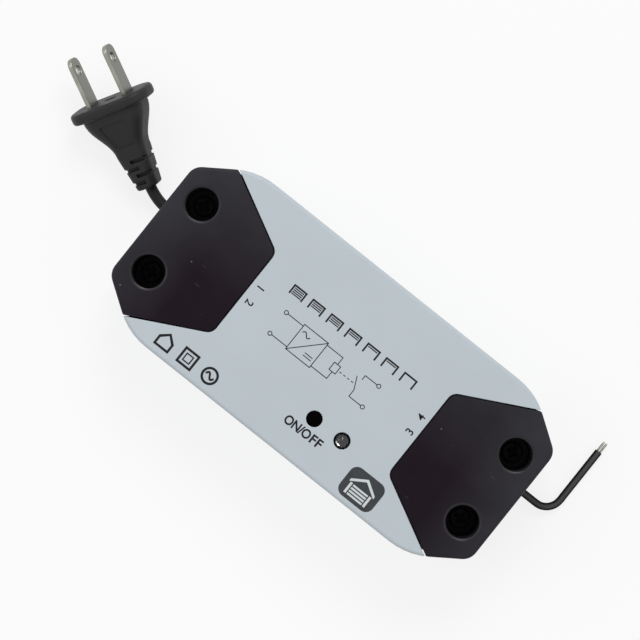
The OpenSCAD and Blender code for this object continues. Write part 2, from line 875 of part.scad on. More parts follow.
// The output lead's middle at the length s from the end wall
function lead_point(s) =
    let (
        turn = 90 * min(max((s - lead_run) / lead_arc, 0), 1),
        sunk = ease(min(max((s - lead_level) / lead_fall, 0), 1)),
        along = min(s, lead_run) + lead_bend * sin(turn),
        aside = lead_bend * (1 - cos(turn)) + max(s - lead_run - lead_arc, 0)
    )
    lead_exit + [along, aside, -lead_drop * sunk];

module output_lead() {
    color([0.1, 0.1, 0.1])
        tube(lead_route, lead_d / 2, 8, [1, 0, 0], [0, 1, 0]);
}

module lead_tips() {
    color("silver")
        for (x = [-1, 1])
            translate(lead_route[lead_steps] + [x * lead_d / 5, 0, 0])
                rotate([-90, 0, 0])
                    cylinder(d = lead_d / 3, h = tip_l);
}

// Plug, built along +X from its tail and then laid in place

module lay_plug() {
    translate(plug_tail)
        rotate([-plug_roll, -plug_tilt, 180 - plug_turn])
            children();
}

function plug_ring(x, w, h, r) = [for (p = rounded(rectangle(w, h), [r, r, r, r], 12)) [x, p.x, p.y]];

function flange_ring(x, d) = plug_ring(x, flange_w - 2 * d, flange_h - 2 * d, flange_r - d);

function ease(t) = (1 - cos(180 * t)) / 2;

function blend(a, b, t) = a + (b - a) * t;

// Width and height of the grip at x
function grip_at(x) =
    let (e = ease((x - relief_l) / (plug_l - flange_t - relief_l)))
    [blend(neck_w, grip_w, e), blend(neck_h, grip_h, e)];

function plug_rings() = concat(
    [
        for (k = [0 : edge_steps])
            let (a = 90 * k / edge_steps, d = relief_r / 3 * (1 - sin(a)))
            plug_ring(relief_r / 3 * (1 - cos(a)), tail_w - 2 * d, tail_w - 2 * d, relief_r - d)
    ],
    [
        for (i = [0 : plug_steps])
            let (t = i / plug_steps, x = blend(relief_l, plug_l - flange_t, t), size = grip_at(x))
            plug_ring(x, size.x, size.y, blend(relief_r, grip_r, t))
    ],
    [
        for (k = [0 : edge_steps])
            let (a = 90 * k / edge_steps, step = k == 0 ? rest_gap : 0)
            flange_ring(plug_l - flange_t + flange_edge * (1 - cos(a)) + step, flange_edge * (1 - sin(a)))
    ],
    [
        for (k = [0 : edge_steps])
            let (a = 90 * k / edge_steps)
            flange_ring(plug_l - flange_edge * (1 - sin(a)), flange_edge * (1 - cos(a)))
    ]
);

module blade_solid() {
    rotate([90, 0, 0])
        translate([plug_l, 0, -blade_t / 2])
            linear_extrude(blade_t)
                polygon(rounded(
                    [[-blade_root, -blade_w / 2], [blade_l, -blade_w / 2],
                     [blade_l, blade_w / 2], [-blade_root, blade_w / 2]],
                    [0.3, blade_r, blade_r, 0.3]
                ));
}

// Slots from alternate sides, deep on the upper and lower face and shallow at the edge
module relief_slots() {
    cut = 2 * slot_depth;
    side_cut = 2 * slot_side;
    difference() {
        for (i = [0 : 3])
            let (side = i % 2 == 0 ? 1 : -1)
            translate([slot_start + i * slot_pitch, side > 0 ? -over : -neck_w, -neck_h])
                cube([slot_w, neck_w + over, 2 * neck_h]);
        skin([
            plug_ring(0, tail_w - side_cut, tail_w - cut, relief_r - slot_depth / 2),
            plug_ring(relief_l, neck_w - side_cut, neck_h - cut, relief_r - slot_depth / 2)
        ]);
    }
}

// A sunken panel that widens with the grip, on its upper and lower face
module grip_panels() {
    start = relief_l + panel_in;
    end = plug_l - flange_t - panel_in;
    from = grip_at(start);
    to = grip_at(end);
    slope = atan2((to.y - from.y) / 2, end - start);
    length = (end - start) / cos(slope);
    for (side = [0, 1])
        mirror([0, 0, side])
            translate([start, 0, from.y / 2 - panel_t])
                rotate([0, -slope, 0])
                    linear_extrude(grip_h)
                        polygon(rounded(
                            [for (c = [[0, -from.x], [length, -to.x], [length, to.x], [0, from.x]])
                                [c.x, c.y * panel_part / 2]],
                            [panel_r, panel_r, panel_r, panel_r]
                        ));
}

module face_dimple() {
    translate([plug_l - dimple_t, 0, 0])
        rotate([90, 0, 90])
            stadium(dimple_l, dimple_w, dimple_t + over);
}

module plug_body() {
    color([0.16, 0.157, 0.16])
        lay_plug()
            difference() {
                skin(plug_rings());
                relief_slots();
                grip_panels();
                face_dimple();
                for (y = [-1, 1])
                    translate([0, y * blade_pitch / 2, 0]) blade_solid();
            }
}

module plug_blades() {
    color([0.52, 0.52, 0.5])
        lay_plug()
            for (y = [-1, 1])
                translate([0, y * blade_pitch / 2, 0])
                    difference() {
                        blade_solid();
                        translate([plug_l + blade_l - blade_hole_end, 0, 0])
                            rotate([90, 0, 0])
                                cylinder(d = blade_hole_d, h = 4 * blade_t, center = true);
                    }
}

// Circuit board and what stands on it

module pcb() {
    color([0.08, 0.36, 0.2])
        difference() {
            prism(rounded(rectangle(board_l, board_w), [1.5, 1.5, 1.5, 1.5]), board_z, board_top);
            at_board_holes() screw_hole(small_screw_d, board_screw_l);
        }
}

module pcb_screws() {
    color("silver")
        at_board_holes() screw(small_screw_d, board_screw_l, small_head_d, small_head_h);
}

module at_ways() {
    for (y = [-1, 1])
        translate([term_x + term_d / 2, cord_y + y * term_pitch / 2, board_top])
            children();
}

module terminal_block() {
    color([0.1, 0.42, 0.32])
        difference() {
            translate([term_x, cord_y - term_w / 2, board_top])
                cube([term_d, term_w, term_h]);
            at_ways() {
                translate([0, 0, entry_z + entry_w / 2 + 1])
                    cylinder(d = term_screw_d + 2 * screw_clear, h = term_h);
                translate([-term_d / 4, -entry_w / 2, entry_z - entry_w / 2])
                    cube([term_d, entry_w, entry_w]);
            }
        }
}

module input_terminal() {
    mirror([1, 0, 0]) terminal_block();
}

module output_terminal() {
    terminal_block();
}

module terminal_screws() {
    color("silver")
        both_ends()
            at_ways()
                translate([0, 0, entry_z + entry_w / 2 + 1])
                    difference() {
                        cylinder(d = term_screw_d, h = term_screw_l);
                        translate([-0.35, -term_screw_d, term_screw_l - 1])
                            cube([0.7, 2 * term_screw_d, 2]);
                    }
}

module at_relay() {
    translate([relay_x, relay_y, board_top])
        children();
}

module relay_base() {
    color([0.12, 0.12, 0.13])
        at_relay()
            translate([-relay_in_l / 2, -relay_in_w / 2, 0])
                cube([relay_in_l, relay_in_w, relay_base_t]);
}

module relay_case() {
    color([0.12, 0.3, 0.62])
        at_relay()
            difference() {
                prism(rounded(rectangle(relay_l, relay_w), [0.8, 0.8, 0.8, 0.8]), 0, relay_h);
                translate([-relay_in_l / 2, -relay_in_w / 2, -over])
                    cube([relay_in_l, relay_in_w, relay_h - relay_wall + over]);
            }
}

module relay_coil() {
    color("darkorange")
        at_relay()
            translate([coil_x, 0, coil_z])
                rotate_extrude()
                    polygon([
                        [core_d / 2, 0], [coil_d / 2 + coil_rim, 0], [coil_d / 2 + coil_rim, coil_rim_t],
                        [coil_d / 2, coil_rim_t], [coil_d / 2, coil_l - coil_rim_t],
                        [coil_d / 2 + coil_rim, coil_l - coil_rim_t], [coil_d / 2 + coil_rim, coil_l],
                        [core_d / 2, coil_l]
                    ]);
}

// The magnet's frame: foot plate, upright leg and the core through the coil
module relay_yoke() {
    color([0.62, 0.62, 0.64])
        at_relay() {
            translate([yoke_x, -yoke_w / 2, relay_base_t])
                cube([coil_x + core_d - yoke_x, yoke_w, yoke_t]);
            translate([yoke_x, -yoke_w / 2, relay_base_t])
                cube([yoke_t, yoke_w, rock_z - relay_base_t]);
            translate([coil_x, 0, relay_base_t + sink])
                cylinder(d = core_d, h = core_top_z - relay_base_t - sink);
        }
}

// Rocks on the upright leg's top edge towards the core
module relay_armature() {
    color([0.7, 0.7, 0.72])
        at_relay()
            translate([yoke_x, -yoke_w / 2, armature_z])
                cube([armature_l, yoke_w, yoke_t]);
}

// Two fixed contact blades that stand on the base beyond the coil, one on
// each side of the armature's free end
module relay_contacts() {
    end_x = yoke_x + armature_l;
    color([0.75, 0.5, 0.25])
        at_relay()
            for (side = [-1, 1])
                let (level = side < 0 ? armature_z - contact_gap - contact_t : armature_z + yoke_t + rock_gap)
                translate([0, (side * 2 - 1) * contact_w / 2, 0]) {
                    translate([end_x + contact_t, 0, relay_base_t])
                        cube([contact_t, contact_w, level + contact_t - relay_base_t]);
                    translate([end_x - contact_reach, 0, level])
                        cube([contact_reach + 2 * contact_t, contact_w, contact_t]);
                }
}

// A closed ring of limbs with the winding window left open
module transformer_core() {
    color([0.2, 0.2, 0.22])
        translate([core_x, core_y, board_top + foot_h])
            difference() {
                translate([-core_l / 2, -core_w / 4, 0])
                    cube([core_l, core_w / 2, core_h]);
                translate([limb_t - core_l / 2, -core_w, limb_t])
                    cube([core_l - 2 * limb_t, 2 * core_w, core_h - 2 * limb_t]);
            }
}

// The winding fills the window and stands on a foot at each side of the core
module transformer_bobbin() {
    winding = [core_l - 2 * (limb_t + winding_clear), core_w, core_h - 2 * limb_t - winding_clear];
    color("gold")
        translate([core_x, core_y, board_top]) {
            translate([-winding.x / 2, -winding.y / 2, foot_h + limb_t])
                cube(winding);
            for (y = [-1, 1])
                translate([-core_l / 2, y * (core_w - foot_w) / 2 - foot_w / 2, 0])
                    cube([core_l, foot_w, foot_h + limb_t]);
        }
}

// A can capacitor with a crimped groove and a bevelled top
module can_capacitor(d, h) {
    rotate_extrude()
        polygon([
            [0, 0], [d / 2 - 0.4, 0], [d / 2, 0.4], [d / 2, 1.4], [d / 2 - 0.4, 1.8],
            [d / 2, 2.2], [d / 2, h - 0.5], [d / 2 - 0.5, h], [d / 2 - 1, h - 0.2], [0, h - 0.2]
        ]);
}

module bulk_capacitor() {
    color([0.1, 0.12, 0.3])
        translate([bulk_x, bulk_y, board_top])
            can_capacitor(bulk_d, bulk_h);
}

module output_capacitor() {
    color([0.1, 0.1, 0.12])
        translate([small_cap_x, supply_y, board_top])
            can_capacitor(small_cap_d, small_cap_h);
}

module fuse() {
    color([0.45, 0.16, 0.12])
        translate([fuse_x, supply_y, board_top])
            rotate_extrude()
                polygon([
                    [0, 0], [fuse_d / 2, 0], [fuse_d / 2, fuse_h - 0.6],
                    [fuse_d / 2 - 0.6, fuse_h], [0, fuse_h]
                ]);
}

// A coated disc on edge, on two straight leads
module varistor() {
    color([0.15, 0.32, 0.6])
        translate([varistor_x, supply_y, board_top]) {
            translate([-varistor_t / 2, 0, 1.5 + varistor_d / 2])
                rotate([0, 90, 0])
                    cylinder(d = varistor_d, h = varistor_t);
            for (y = [-1, 1])
                translate([0, y * varistor_d / 4, 0])
                    cylinder(d = 0.8, h = varistor_d / 2);
        }
}

module bridge_rectifier() {
    color([0.1, 0.1, 0.11])
        translate([rectifier_x, supply_y, board_top])
            prism(rounded(rectangle(rectifier_l, rectifier_w), [1.6, 0.3, 0.3, 0.3]), 0, rectifier_h);
}

module radio_board() {
    color([0.08, 0.14, 0.32])
        translate([radio_x, radio_y, 0])
            prism(rounded(rectangle(radio_l, radio_w), [0.4, 0.4, 0.4, 0.4]), board_top, board_top + radio_t);
}

module radio_shield() {
    color("silver")
        translate([radio_x + radio_l / 2 - radio_edge - shield_l / 2, radio_y, 0])
            prism(rounded(rectangle(shield_l, shield_w), [0.6, 0.6, 0.6, 0.6]),
                  board_top + radio_t, board_top + radio_t + shield_h);
}

// Button and LED

module at_button() {
    translate([button_x, button_y, 0])
        children();
}

module at_led() {
    translate([led_x, button_y, 0])
        children();
}

module switch_body() {
    color([0.14, 0.14, 0.15])
        at_button()
            difference() {
                translate([-switch_w / 2, -switch_w / 2, board_top])
                    cube([switch_w, switch_w, switch_h]);
                translate([0, 0, board_top + switch_h - plunger_in - button_travel - 0.2])
                    cylinder(d = plunger_d + 2 * button_clear, h = switch_h);
            }
}

module switch_plunger() {
    color([0.2, 0.2, 0.2])
        at_button()
            translate([0, 0, plunger_top_z - plunger_l])
                cylinder(d = plunger_d, h = plunger_l);
}

module button_cap() {
    color([0.03, 0.025, 0.03])
        at_button()
            rotate_extrude()
                polygon([
                    [0, plunger_top_z], [plunger_d / 2, plunger_top_z],
                    [plunger_d / 2, collar_top_z - 2 * collar_t],
                    [collar_d / 2, collar_top_z - collar_t], [collar_d / 2, collar_top_z],
                    [button_d / 2, collar_top_z], [button_d / 2, body_h - button_sink - 0.4],
                    [button_d / 2 - 0.4, body_h - button_sink], [0, body_h - button_sink]
                ]);
}

module status_led() {
    color([0.85, 0.87, 0.88, 0.6])
        at_led()
            translate([0, 0, led_foot_z]) {
                cylinder(d = led_d + 2 * led_rim, h = led_rim_t);
                cylinder(d = led_d, h = led_h);
                translate([0, 0, led_h])
                    sphere(d = led_d);
            }
}

module led_spacer() {
    color([0.9, 0.9, 0.88])
        at_led()
            difference() {
                translate([0, 0, board_top])
                    cylinder(d = led_d + 2 * led_rim, h = led_foot_z - board_top);
                for (x = [-1, 1])
                    translate([x * led_pitch / 2 - led_lead_t, -led_lead_t, board_top - over])
                        cube([2 * led_lead_t, 2 * led_lead_t, led_foot_z]);
            }
}

module led_leads() {
    color("silver")
        at_led()
            for (x = [-1, 1])
                translate([x * led_pitch / 2 - led_lead_t / 2, -led_lead_t / 2, board_top])
                    cube([led_lead_t, led_lead_t, led_foot_z - board_top]);
}

base_shell();
top_shell();
input_cover();
output_cover();
cover_screws();
pcb();
pcb_screws();
input_terminal();
output_terminal();
terminal_screws();
input_clamp();
output_clamp();
clamp_screws();
input_wires();
output_wires();
relay_base();
relay_case();
relay_coil();
relay_yoke();
relay_armature();
relay_contacts();
transformer_core();
transformer_bobbin();
bulk_capacitor();
output_capacitor();
fuse();
varistor();
bridge_rectifier();
radio_board();
radio_shield();
switch_body();
switch_plunger();
button_cap();
status_led();
led_spacer();
led_leads();
power_tail();
power_cord();
plug_body();
plug_blades();
output_tail();
output_lead();
lead_tips();
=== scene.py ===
# Garage door controller: the looks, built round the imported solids.
import json
import math

import bmesh
import bpy
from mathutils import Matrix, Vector


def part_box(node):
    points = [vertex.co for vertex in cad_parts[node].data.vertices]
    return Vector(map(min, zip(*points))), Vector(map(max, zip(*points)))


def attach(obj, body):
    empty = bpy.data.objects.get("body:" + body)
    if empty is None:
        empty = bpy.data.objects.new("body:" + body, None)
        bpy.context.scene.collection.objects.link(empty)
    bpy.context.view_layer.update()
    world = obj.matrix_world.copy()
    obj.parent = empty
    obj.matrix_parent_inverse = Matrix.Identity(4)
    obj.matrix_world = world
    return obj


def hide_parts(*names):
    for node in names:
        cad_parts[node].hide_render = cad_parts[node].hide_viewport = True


mm = 0.001

print("stage: frame")
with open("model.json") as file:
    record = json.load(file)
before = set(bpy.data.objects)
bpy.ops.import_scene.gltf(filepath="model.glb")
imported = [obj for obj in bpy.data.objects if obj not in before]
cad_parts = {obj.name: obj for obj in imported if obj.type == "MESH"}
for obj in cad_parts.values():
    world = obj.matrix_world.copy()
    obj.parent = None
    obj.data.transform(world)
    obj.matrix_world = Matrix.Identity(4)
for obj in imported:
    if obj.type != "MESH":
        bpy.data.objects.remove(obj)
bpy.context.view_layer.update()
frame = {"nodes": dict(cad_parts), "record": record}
nodes = frame["nodes"]


# helpers for colours, shader nodes and meshes

def shade(red, green, blue):  # a colour as read on screen, 0 to 255, to Blender's linear values
    def channel(value):
        value = value / 255
        return value / 12.92 if value <= 0.04045 else ((value + 0.055) / 1.055) ** 2.4
    return (channel(red), channel(green), channel(blue), 1)


def scaled(colour, factor):
    return tuple(min(1, part * factor) for part in colour[:3]) + (1,)


def newFinish(name):
    material = bpy.data.materials.new(name)
    material.use_nodes = True
    return material, material.node_tree, material.node_tree.nodes["Principled BSDF"]


def addNode(tree, kind, sockets, settings=None):  # a socket takes a plain value or another node's output
    node = tree.nodes.new(kind)
    for key, value in (settings or {}).items():
        setattr(node, key, value)
    for key, value in sockets.items():
        if isinstance(value, bpy.types.NodeSocket):
            tree.links.new(value, node.inputs[key])
        else:
            node.inputs[key].default_value = value
    return node


def calc(tree, operation, *values):
    sockets = dict(enumerate(values))
    return addNode(tree, "ShaderNodeMath", sockets, {"operation": operation}).outputs[0]


def objectCoords(tree):
    return addNode(tree, "ShaderNodeTexCoord", {}).outputs["Object"]


def faceNormal(tree):
    return addNode(tree, "ShaderNodeNewGeometry", {}).outputs["Normal"]


def splitAxes(tree, vector):
    return addNode(tree, "ShaderNodeSeparateXYZ", {"Vector": vector}).outputs


def noise(tree, coords, size, detail):  # size in metres
    sockets = {"Vector": coords, "Scale": 1 / size, "Detail": detail}
    return addNode(tree, "ShaderNodeTexNoise", sockets).outputs["Fac"]


def mapped(tree, value, span, toLow=0, toHigh=1):  # the value's span becomes toLow to toHigh
    sockets = {"Value": value, "From Min": span[0], "From Max": span[1], "To Min": toLow, "To Max": toHigh}
    return addNode(tree, "ShaderNodeMapRange", sockets).outputs["Result"]


def mixed(tree, factor, first, second):
    sockets = {0: factor, 6: first, 7: second}  # 6, 7 and the output 2 are the node's colour sockets
    return addNode(tree, "ShaderNodeMix", sockets, {"data_type": "RGBA"}).outputs[2]


def drifted(tree, factor, colour, amount):
    return mixed(tree, factor, scaled(colour, 1 - amount), scaled(colour, 1 + amount))


def lookingUp(tree, span):  # 0 where a face leans away from upright, 1 where it looks up
    return mapped(tree, splitAxes(tree, faceNormal(tree))["Z"], span)


speckDetail = {
    "up": (0.85, 0.95),  # upward part of the normal over which specks set in
    "core": 0.4,         # solid share of a speck's radius
    "pick": 0.001,       # width of the step between chosen and other cells
}


def specked(tree, coords, surface, speck):  # dust and short scratches on the faces that look up
    turned = addNode(tree, "ShaderNodeMapping", {
        "Vector": coords, "Rotation": (0, 0, math.radians(speck.get("turn", 0))),
        "Scale": (1, speck.get("stretch", 1), 1)})
    sockets = {"Vector": turned.outputs["Vector"], "Scale": 1 / speck["spacing"]}
    cells = addNode(tree, "ShaderNodeTexVoronoi", sockets, {"voronoi_dimensions": "2D"}).outputs
    edge = speck["radius"] / speck["spacing"]
    near = mapped(tree, cells["Distance"], (edge, edge * speckDetail["core"]))
    draw = addNode(tree, "ShaderNodeSeparateColor", {"Color": cells["Color"]}).outputs[0]
    least = 1 - speck["share"]
    chosen = mapped(tree, draw, (least, least + speckDetail["pick"]))
    upper = calc(tree, "MULTIPLY", lookingUp(tree, speckDetail["up"]), speck["strength"])
    mask = calc(tree, "MULTIPLY", calc(tree, "MULTIPLY", near, chosen), upper)
    return mixed(tree, mask, surface, shade(*speck["colour"]))


def sheenShare(tree, coords, paintedSheen):  # share of painted sheen: 0 by an end cover's inner edge, 1 at its outer end on the far side
    place = splitAxes(tree, coords)
    outward = calc(tree, "ABSOLUTE", place["X"])
    along = mapped(tree, outward, (paintedSheen["inner"], paintedSheen["outer"]), 0, paintedSheen["alongShare"])
    across = mapped(tree, place["Y"], (paintedSheen["near"], paintedSheen["far"]), 0, paintedSheen["acrossShare"])
    return calc(tree, "ADD", along, across)


creviceSamples = 8


# painted shade in narrow gaps and where pieces meet, darkest where least is open round a point, between
# pieces too unless own is set
def paintCreviceShade(tree, surface, creviceShade):
    sockets = {"Distance": creviceShade["reach"]}
    settings = {"samples": creviceSamples, "only_local": creviceShade["own"]}
    openness = addNode(tree, "ShaderNodeAmbientOcclusion", sockets, settings).outputs["AO"]
    depth = mapped(tree, openness, (creviceShade["full"], creviceShade["none"]), 1, 0)
    return mixed(tree, depth, surface, shade(*creviceShade["colour"]))


def addGrain(tree, bsdf, height, look):
    sockets = {"Height": height, "Strength": 1.0, "Distance": look["grainHeight"]}
    bump = addNode(tree, "ShaderNodeBump", sockets)
    tree.links.new(bump.outputs["Normal"], bsdf.inputs["Normal"])


def addRoughness(tree, bsdf, value, span, look, spread):  # spread is either side of the look's roughness
    rough = mapped(tree, value, span, look["roughness"] - spread, look["roughness"] + spread)
    tree.links.new(rough, bsdf.inputs["Roughness"])


mouldedDetail = {
    "driftSpan": (0.3, 0.7),    # part of the noise that takes the colour from end to end of its drift
    "patchSize": 0.004,         # m, of rougher and smoother patches
    "patchSpan": (0.25, 0.75),
    "roughSpread": 0.06,
}


def moulded(name, look):  # moulded plastic, rubber, ink and coatings
    material, tree, bsdf = newFinish(name)
    coords = objectCoords(tree)
    drift = mapped(tree, noise(tree, coords, look["driftSize"], detail=3), mouldedDetail["driftSpan"])
    surface = drifted(tree, drift, shade(*look["colour"]), look["drift"])
    # painted sheen: the covers painted lighter towards their outer ends and far side, where they catch the
    # light
    if "paintedSheen" in look:
        paintedSheen = look["paintedSheen"]
        sheenTone = drifted(tree, drift, shade(*paintedSheen["colour"]), look["drift"])
        surface = mixed(tree, sheenShare(tree, coords, paintedSheen), surface, sheenTone)
    if "paintedSideShade" in look:  # painted highlight along the top, painted shade down the sides
        paintedSideShade = look["paintedSideShade"]
        surface = mixed(tree, lookingUp(tree, paintedSideShade["up"]), shade(*paintedSideShade["colour"]), surface)
    for speck in look.get("specks", ()):
        surface = specked(tree, coords, surface, speck)
    # painted shade in gaps, slots and hollows
    if "creviceShade" in look:
        surface = paintCreviceShade(tree, surface, look["creviceShade"])
    tree.links.new(surface, bsdf.inputs["Base Color"])
    patch = noise(tree, coords, mouldedDetail["patchSize"], detail=3)
    addRoughness(tree, bsdf, patch, mouldedDetail["patchSpan"], look, mouldedDetail["roughSpread"])
    addGrain(tree, bsdf, noise(tree, coords, look["grainSize"], detail=2), look)
    bsdf.inputs["Specular IOR Level"].default_value = look["specular"]
    return material


platedDetail = {
    "tarnishSpan": (0.35, 0.65),  # part of the noise that goes from clean to tarnished
    "flatSpan": (0.6, 0.9),       # how squarely a face looks along the flats' normal
    "streakSpan": (0.3, 0.7),
    "roughSpread": 0.07,
}


def plated(name, look):  # plated and bare metal
    material, tree, bsdf = newFinish(name)
    coords = objectCoords(tree)
    colour = shade(*look["colour"])
    tarnish = mapped(tree, noise(tree, coords, look["tarnishSize"], detail=4), platedDetail["tarnishSpan"])
    surface = mixed(tree, tarnish, colour, scaled(colour, look["tarnish"]))
    if "flatShade" in look:  # painted reflection: the flats painted darker than the cut edges, as if they caught less light
        flatShade = look["flatShade"]
        along = addNode(tree, "ShaderNodeVectorMath", {0: faceNormal(tree), 1: flatShade["normal"]},
                        {"operation": "DOT_PRODUCT"}).outputs["Value"]
        flat = mapped(tree, calc(tree, "ABSOLUTE", along), platedDetail["flatSpan"])
        surface = mixed(tree, flat, surface, shade(*flatShade["colour"]))
    tree.links.new(surface, bsdf.inputs["Base Color"])
    stretch = addNode(tree, "ShaderNodeMapping", {"Vector": coords, "Scale": look.get("brush", (1, 1, 1))})
    streaks = noise(tree, stretch.outputs["Vector"], look["grainSize"], detail=3)
    addRoughness(tree, bsdf, streaks, platedDetail["streakSpan"], look, platedDetail["roughSpread"])
    addGrain(tree, bsdf, streaks, look)
    bsdf.inputs["Metallic"].default_value = 1.0
    return material


def newMesh(name, mesh, material):
    data = bpy.data.meshes.new(name)
    mesh.to_mesh(data)
    mesh.free()
    data.shade_smooth()
    piece = bpy.data.objects.new(name, data)
    bpy.context.scene.collection.objects.link(piece)
    data.materials.append(material)
    return piece


def toFrame(mesh, place=(0, 0)):  # points in mm about a place to metres in the frame
    for corner in mesh.verts:
        corner.co = (corner.co + Vector((*place, 0))) * mm


def endPiece(mesh, name, material):  # a crisp piece that stays with the case
    bmesh.ops.recalc_face_normals(mesh, faces=mesh.faces)
    piece = newMesh(name, mesh, material)
    piece.data.shade_flat()
    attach(piece, "case")


def dress(node, material):
    node.data.materials.clear()
    node.data.materials.append(material)


edgeDetail = {
    "weld": 0.000002,    # m, points nearer than this are one
    "flatAngle": 0.4,    # degrees, faces that lie flatter are joined
    "sharpAngle": 42.0,  # degrees, edges sharper than this are softened unless the look says otherwise
    "segments": 2,
    "faceWeight": 60,    # how far large faces keep the shading flat
}


def softenEdges(node, look):  # small moulding radii on the solid's sharp edges
    if "custom_normal" in node.data.attributes:
        node.data.attributes.remove(node.data.attributes["custom_normal"])
    node.data.shade_smooth()
    weld = node.modifiers.new("weld", "WELD")
    weld.merge_threshold = edgeDetail["weld"]
    flat = node.modifiers.new("flat", "DECIMATE")
    flat.decimate_type = "DISSOLVE"
    flat.angle_limit = math.radians(edgeDetail["flatAngle"])
    bevel = node.modifiers.new("bevel", "BEVEL")
    bevel.width = look["edge"] * mm
    bevel.segments = edgeDetail["segments"]
    bevel.limit_method = "ANGLE"
    bevel.angle_limit = math.radians(look.get("edgeAngle", edgeDetail["sharpAngle"]))
    bevel.use_clamp_overlap = False
    normals = node.modifiers.new("normals", "WEIGHTED_NORMAL")
    normals.weight = edgeDetail["faceWeight"]


print("stage: camera")
photoView = {
    "aim": (-11.05, 7.9),  # mm, the point of the face under the picture's middle
    "turn": 38.577,        # degrees about the upright axis
    "frameWidth": 193.9,   # mm across the picture at the face
    "height": 900,         # mm above the face
    "sensor": 36,          # mm
    "clip": (0.05, 20),    # m, the nearest and the farthest that it sees
}
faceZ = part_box("top_shell")[1].z


def placeCamera(look):
    data = bpy.data.cameras.new("photoCamera")
    data.sensor_width = look["sensor"]
    data.lens = look["sensor"] * look["height"] / look["frameWidth"]
    data.clip_start, data.clip_end = look["clip"]
    camera = bpy.data.objects.new("photoCamera", data)
    camera.location = (look["aim"][0] * mm, look["aim"][1] * mm, faceZ + look["height"] * mm)
    camera.rotation_euler = (0, 0, math.radians(look["turn"]))
    bpy.context.scene.collection.objects.link(camera)
    bpy.context.scene.camera = camera


placeCamera(photoView)


print("stage: cords")
cordJacket = {
    "colour": (27, 27, 28), "drift": 0.18, "driftSize": 0.006, "roughness": 0.55, "specular": 0.2,
    "grainSize": 0.00025, "grainHeight": 0.000008,
}
# the lead's colour here is a painted highlight along its top; its side colour is painted shade
thinJacket = dict(cordJacket, colour=(80, 80, 80), drift=0.08, specular=0.05,
                  paintedSideShade={"up": (0.7, 1), "colour": (4, 4, 4)})
cordFinish = moulded("cordJacket", cordJacket)
thinFinish = moulded("thinJacket", thinJacket)

outputLead = {
    "exit": (70, 5.3, 4.4),  # mm, where the lead leaves the end wall
    "diameter": 2.4,
    "run": 7.5,              # mm before the bend
    "bend": 5.4,             # mm, radius of the bend
    "reach": 19.4,           # mm after the bend
    "level": 1.0,            # mm before it starts to sink
    "fall": 13.0,            # mm of lead in which it sinks
    "drop": 3.0,             # mm down to the surface
    "steps": 20,
}
leadArc = outputLead["bend"] * math.pi / 2
leadLength = outputLead["run"] + leadArc + outputLead["reach"]


def leadPoint(look, along):  # the lead's middle at this length from the end wall, as in the part's source
    turn = math.pi / 2 * min(max((along - look["run"]) / leadArc, 0), 1)
    sunk = (1 - math.cos(math.pi * min(max((along - look["level"]) / look["fall"], 0), 1))) / 2
    x = min(along, look["run"]) + look["bend"] * math.sin(turn)
    y = look["bend"] * (1 - math.cos(turn)) + max(along - look["run"] - leadArc, 0)
    return (Vector(look["exit"]) + Vector((x, y, -look["drop"] * sunk))) * mm


cordCurve = {"round": 6, "smooth": 6}  # steps round the cord and between its points


def runCurve(name, points, radius, material):  # a round cord through points in metres
    data = bpy.data.curves.new(name, "CURVE")
    data.dimensions = "3D"
    data.bevel_depth = radius
    data.bevel_resolution = cordCurve["round"]
    data.resolution_u = cordCurve["smooth"]
    data.use_fill_caps = True
    spline = data.splines.new("BEZIER")
    spline.bezier_points.add(len(points) - 1)
    for knot, point in zip(spline.bezier_points, points):
        knot.co = point
        knot.handle_left_type = knot.handle_right_type = "AUTO"
    data.materials.append(material)
    piece = bpy.data.objects.new(name, data)
    bpy.context.scene.collection.objects.link(piece)
    return piece


leadSteps = outputLead["steps"]
leadPoints = [leadPoint(outputLead, leadLength * k / leadSteps) for k in range(leadSteps + 1)]
leadPiece = runCurve("output_lead_jacket", leadPoints, outputLead["diameter"] / 2 * mm, thinFinish)
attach(leadPiece, "case")
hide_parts("output_lead")

bareStrands = {
    "colour": (176, 172, 164), "tarnish": 0.6, "tarnishSize": 0.0006, "roughness": 0.34,
    "grainSize": 0.0002, "grainHeight": 0.000004,
}
strandFinish = plated("bareStrands", bareStrands)
leadTips = {
    "length": 3.5,      # mm beyond the jacket
    "spread": 0.48,     # mm of each core from the middle
    "radius": 0.36,     # mm
    "strands": 7,
    "lay": 300,         # degrees that the strands twist along the tip
    "ridge": 0.09,      # how far a strand stands out, as a share of the radius
    "pinch": 0.28,      # how far the cut end is pinched in, as a share of the radius
    "pinchFrom": 0.75,  # share of the length at which the pinch starts
    "rows": 24,
    "strandSteps": 6,   # points round each strand
}


def twistTips(look):  # two cores of twisted strands, each cut square and slightly pinched
    mesh = bmesh.new()
    end = leadPoints[-1]
    ringSize = look["strands"] * look["strandSteps"]
    lay = math.radians(look["lay"])
    for side in (-1, 1):
        rings = []
        for row in range(look["rows"] + 1):
            along = row / look["rows"]
            pinch = 1 - look["pinch"] * max(0, along - look["pinchFrom"]) / (1 - look["pinchFrom"])
            ring = []
            for step in range(ringSize):
                angle = 2 * math.pi * step / ringSize
                ridge = 1 + look["ridge"] * math.cos(look["strands"] * (angle + lay * along))
                radius = look["radius"] * ridge * pinch
                x = side * look["spread"] + radius * math.cos(angle)
                z = radius * math.sin(angle)
                ring.append(mesh.verts.new(end + Vector((x, along * look["length"], z)) * mm))
            rings.append(ring)
        for near, far in zip(rings, rings[1:]):
            for step in range(ringSize):
                after = (step + 1) % ringSize
                mesh.faces.new((near[step], far[step], far[after], near[after]))
        mesh.faces.new(rings[0])
        mesh.faces.new(list(reversed(rings[-1])))
    bmesh.ops.recalc_face_normals(mesh, faces=mesh.faces)
    return newMesh("lead_strands", mesh, strandFinish)


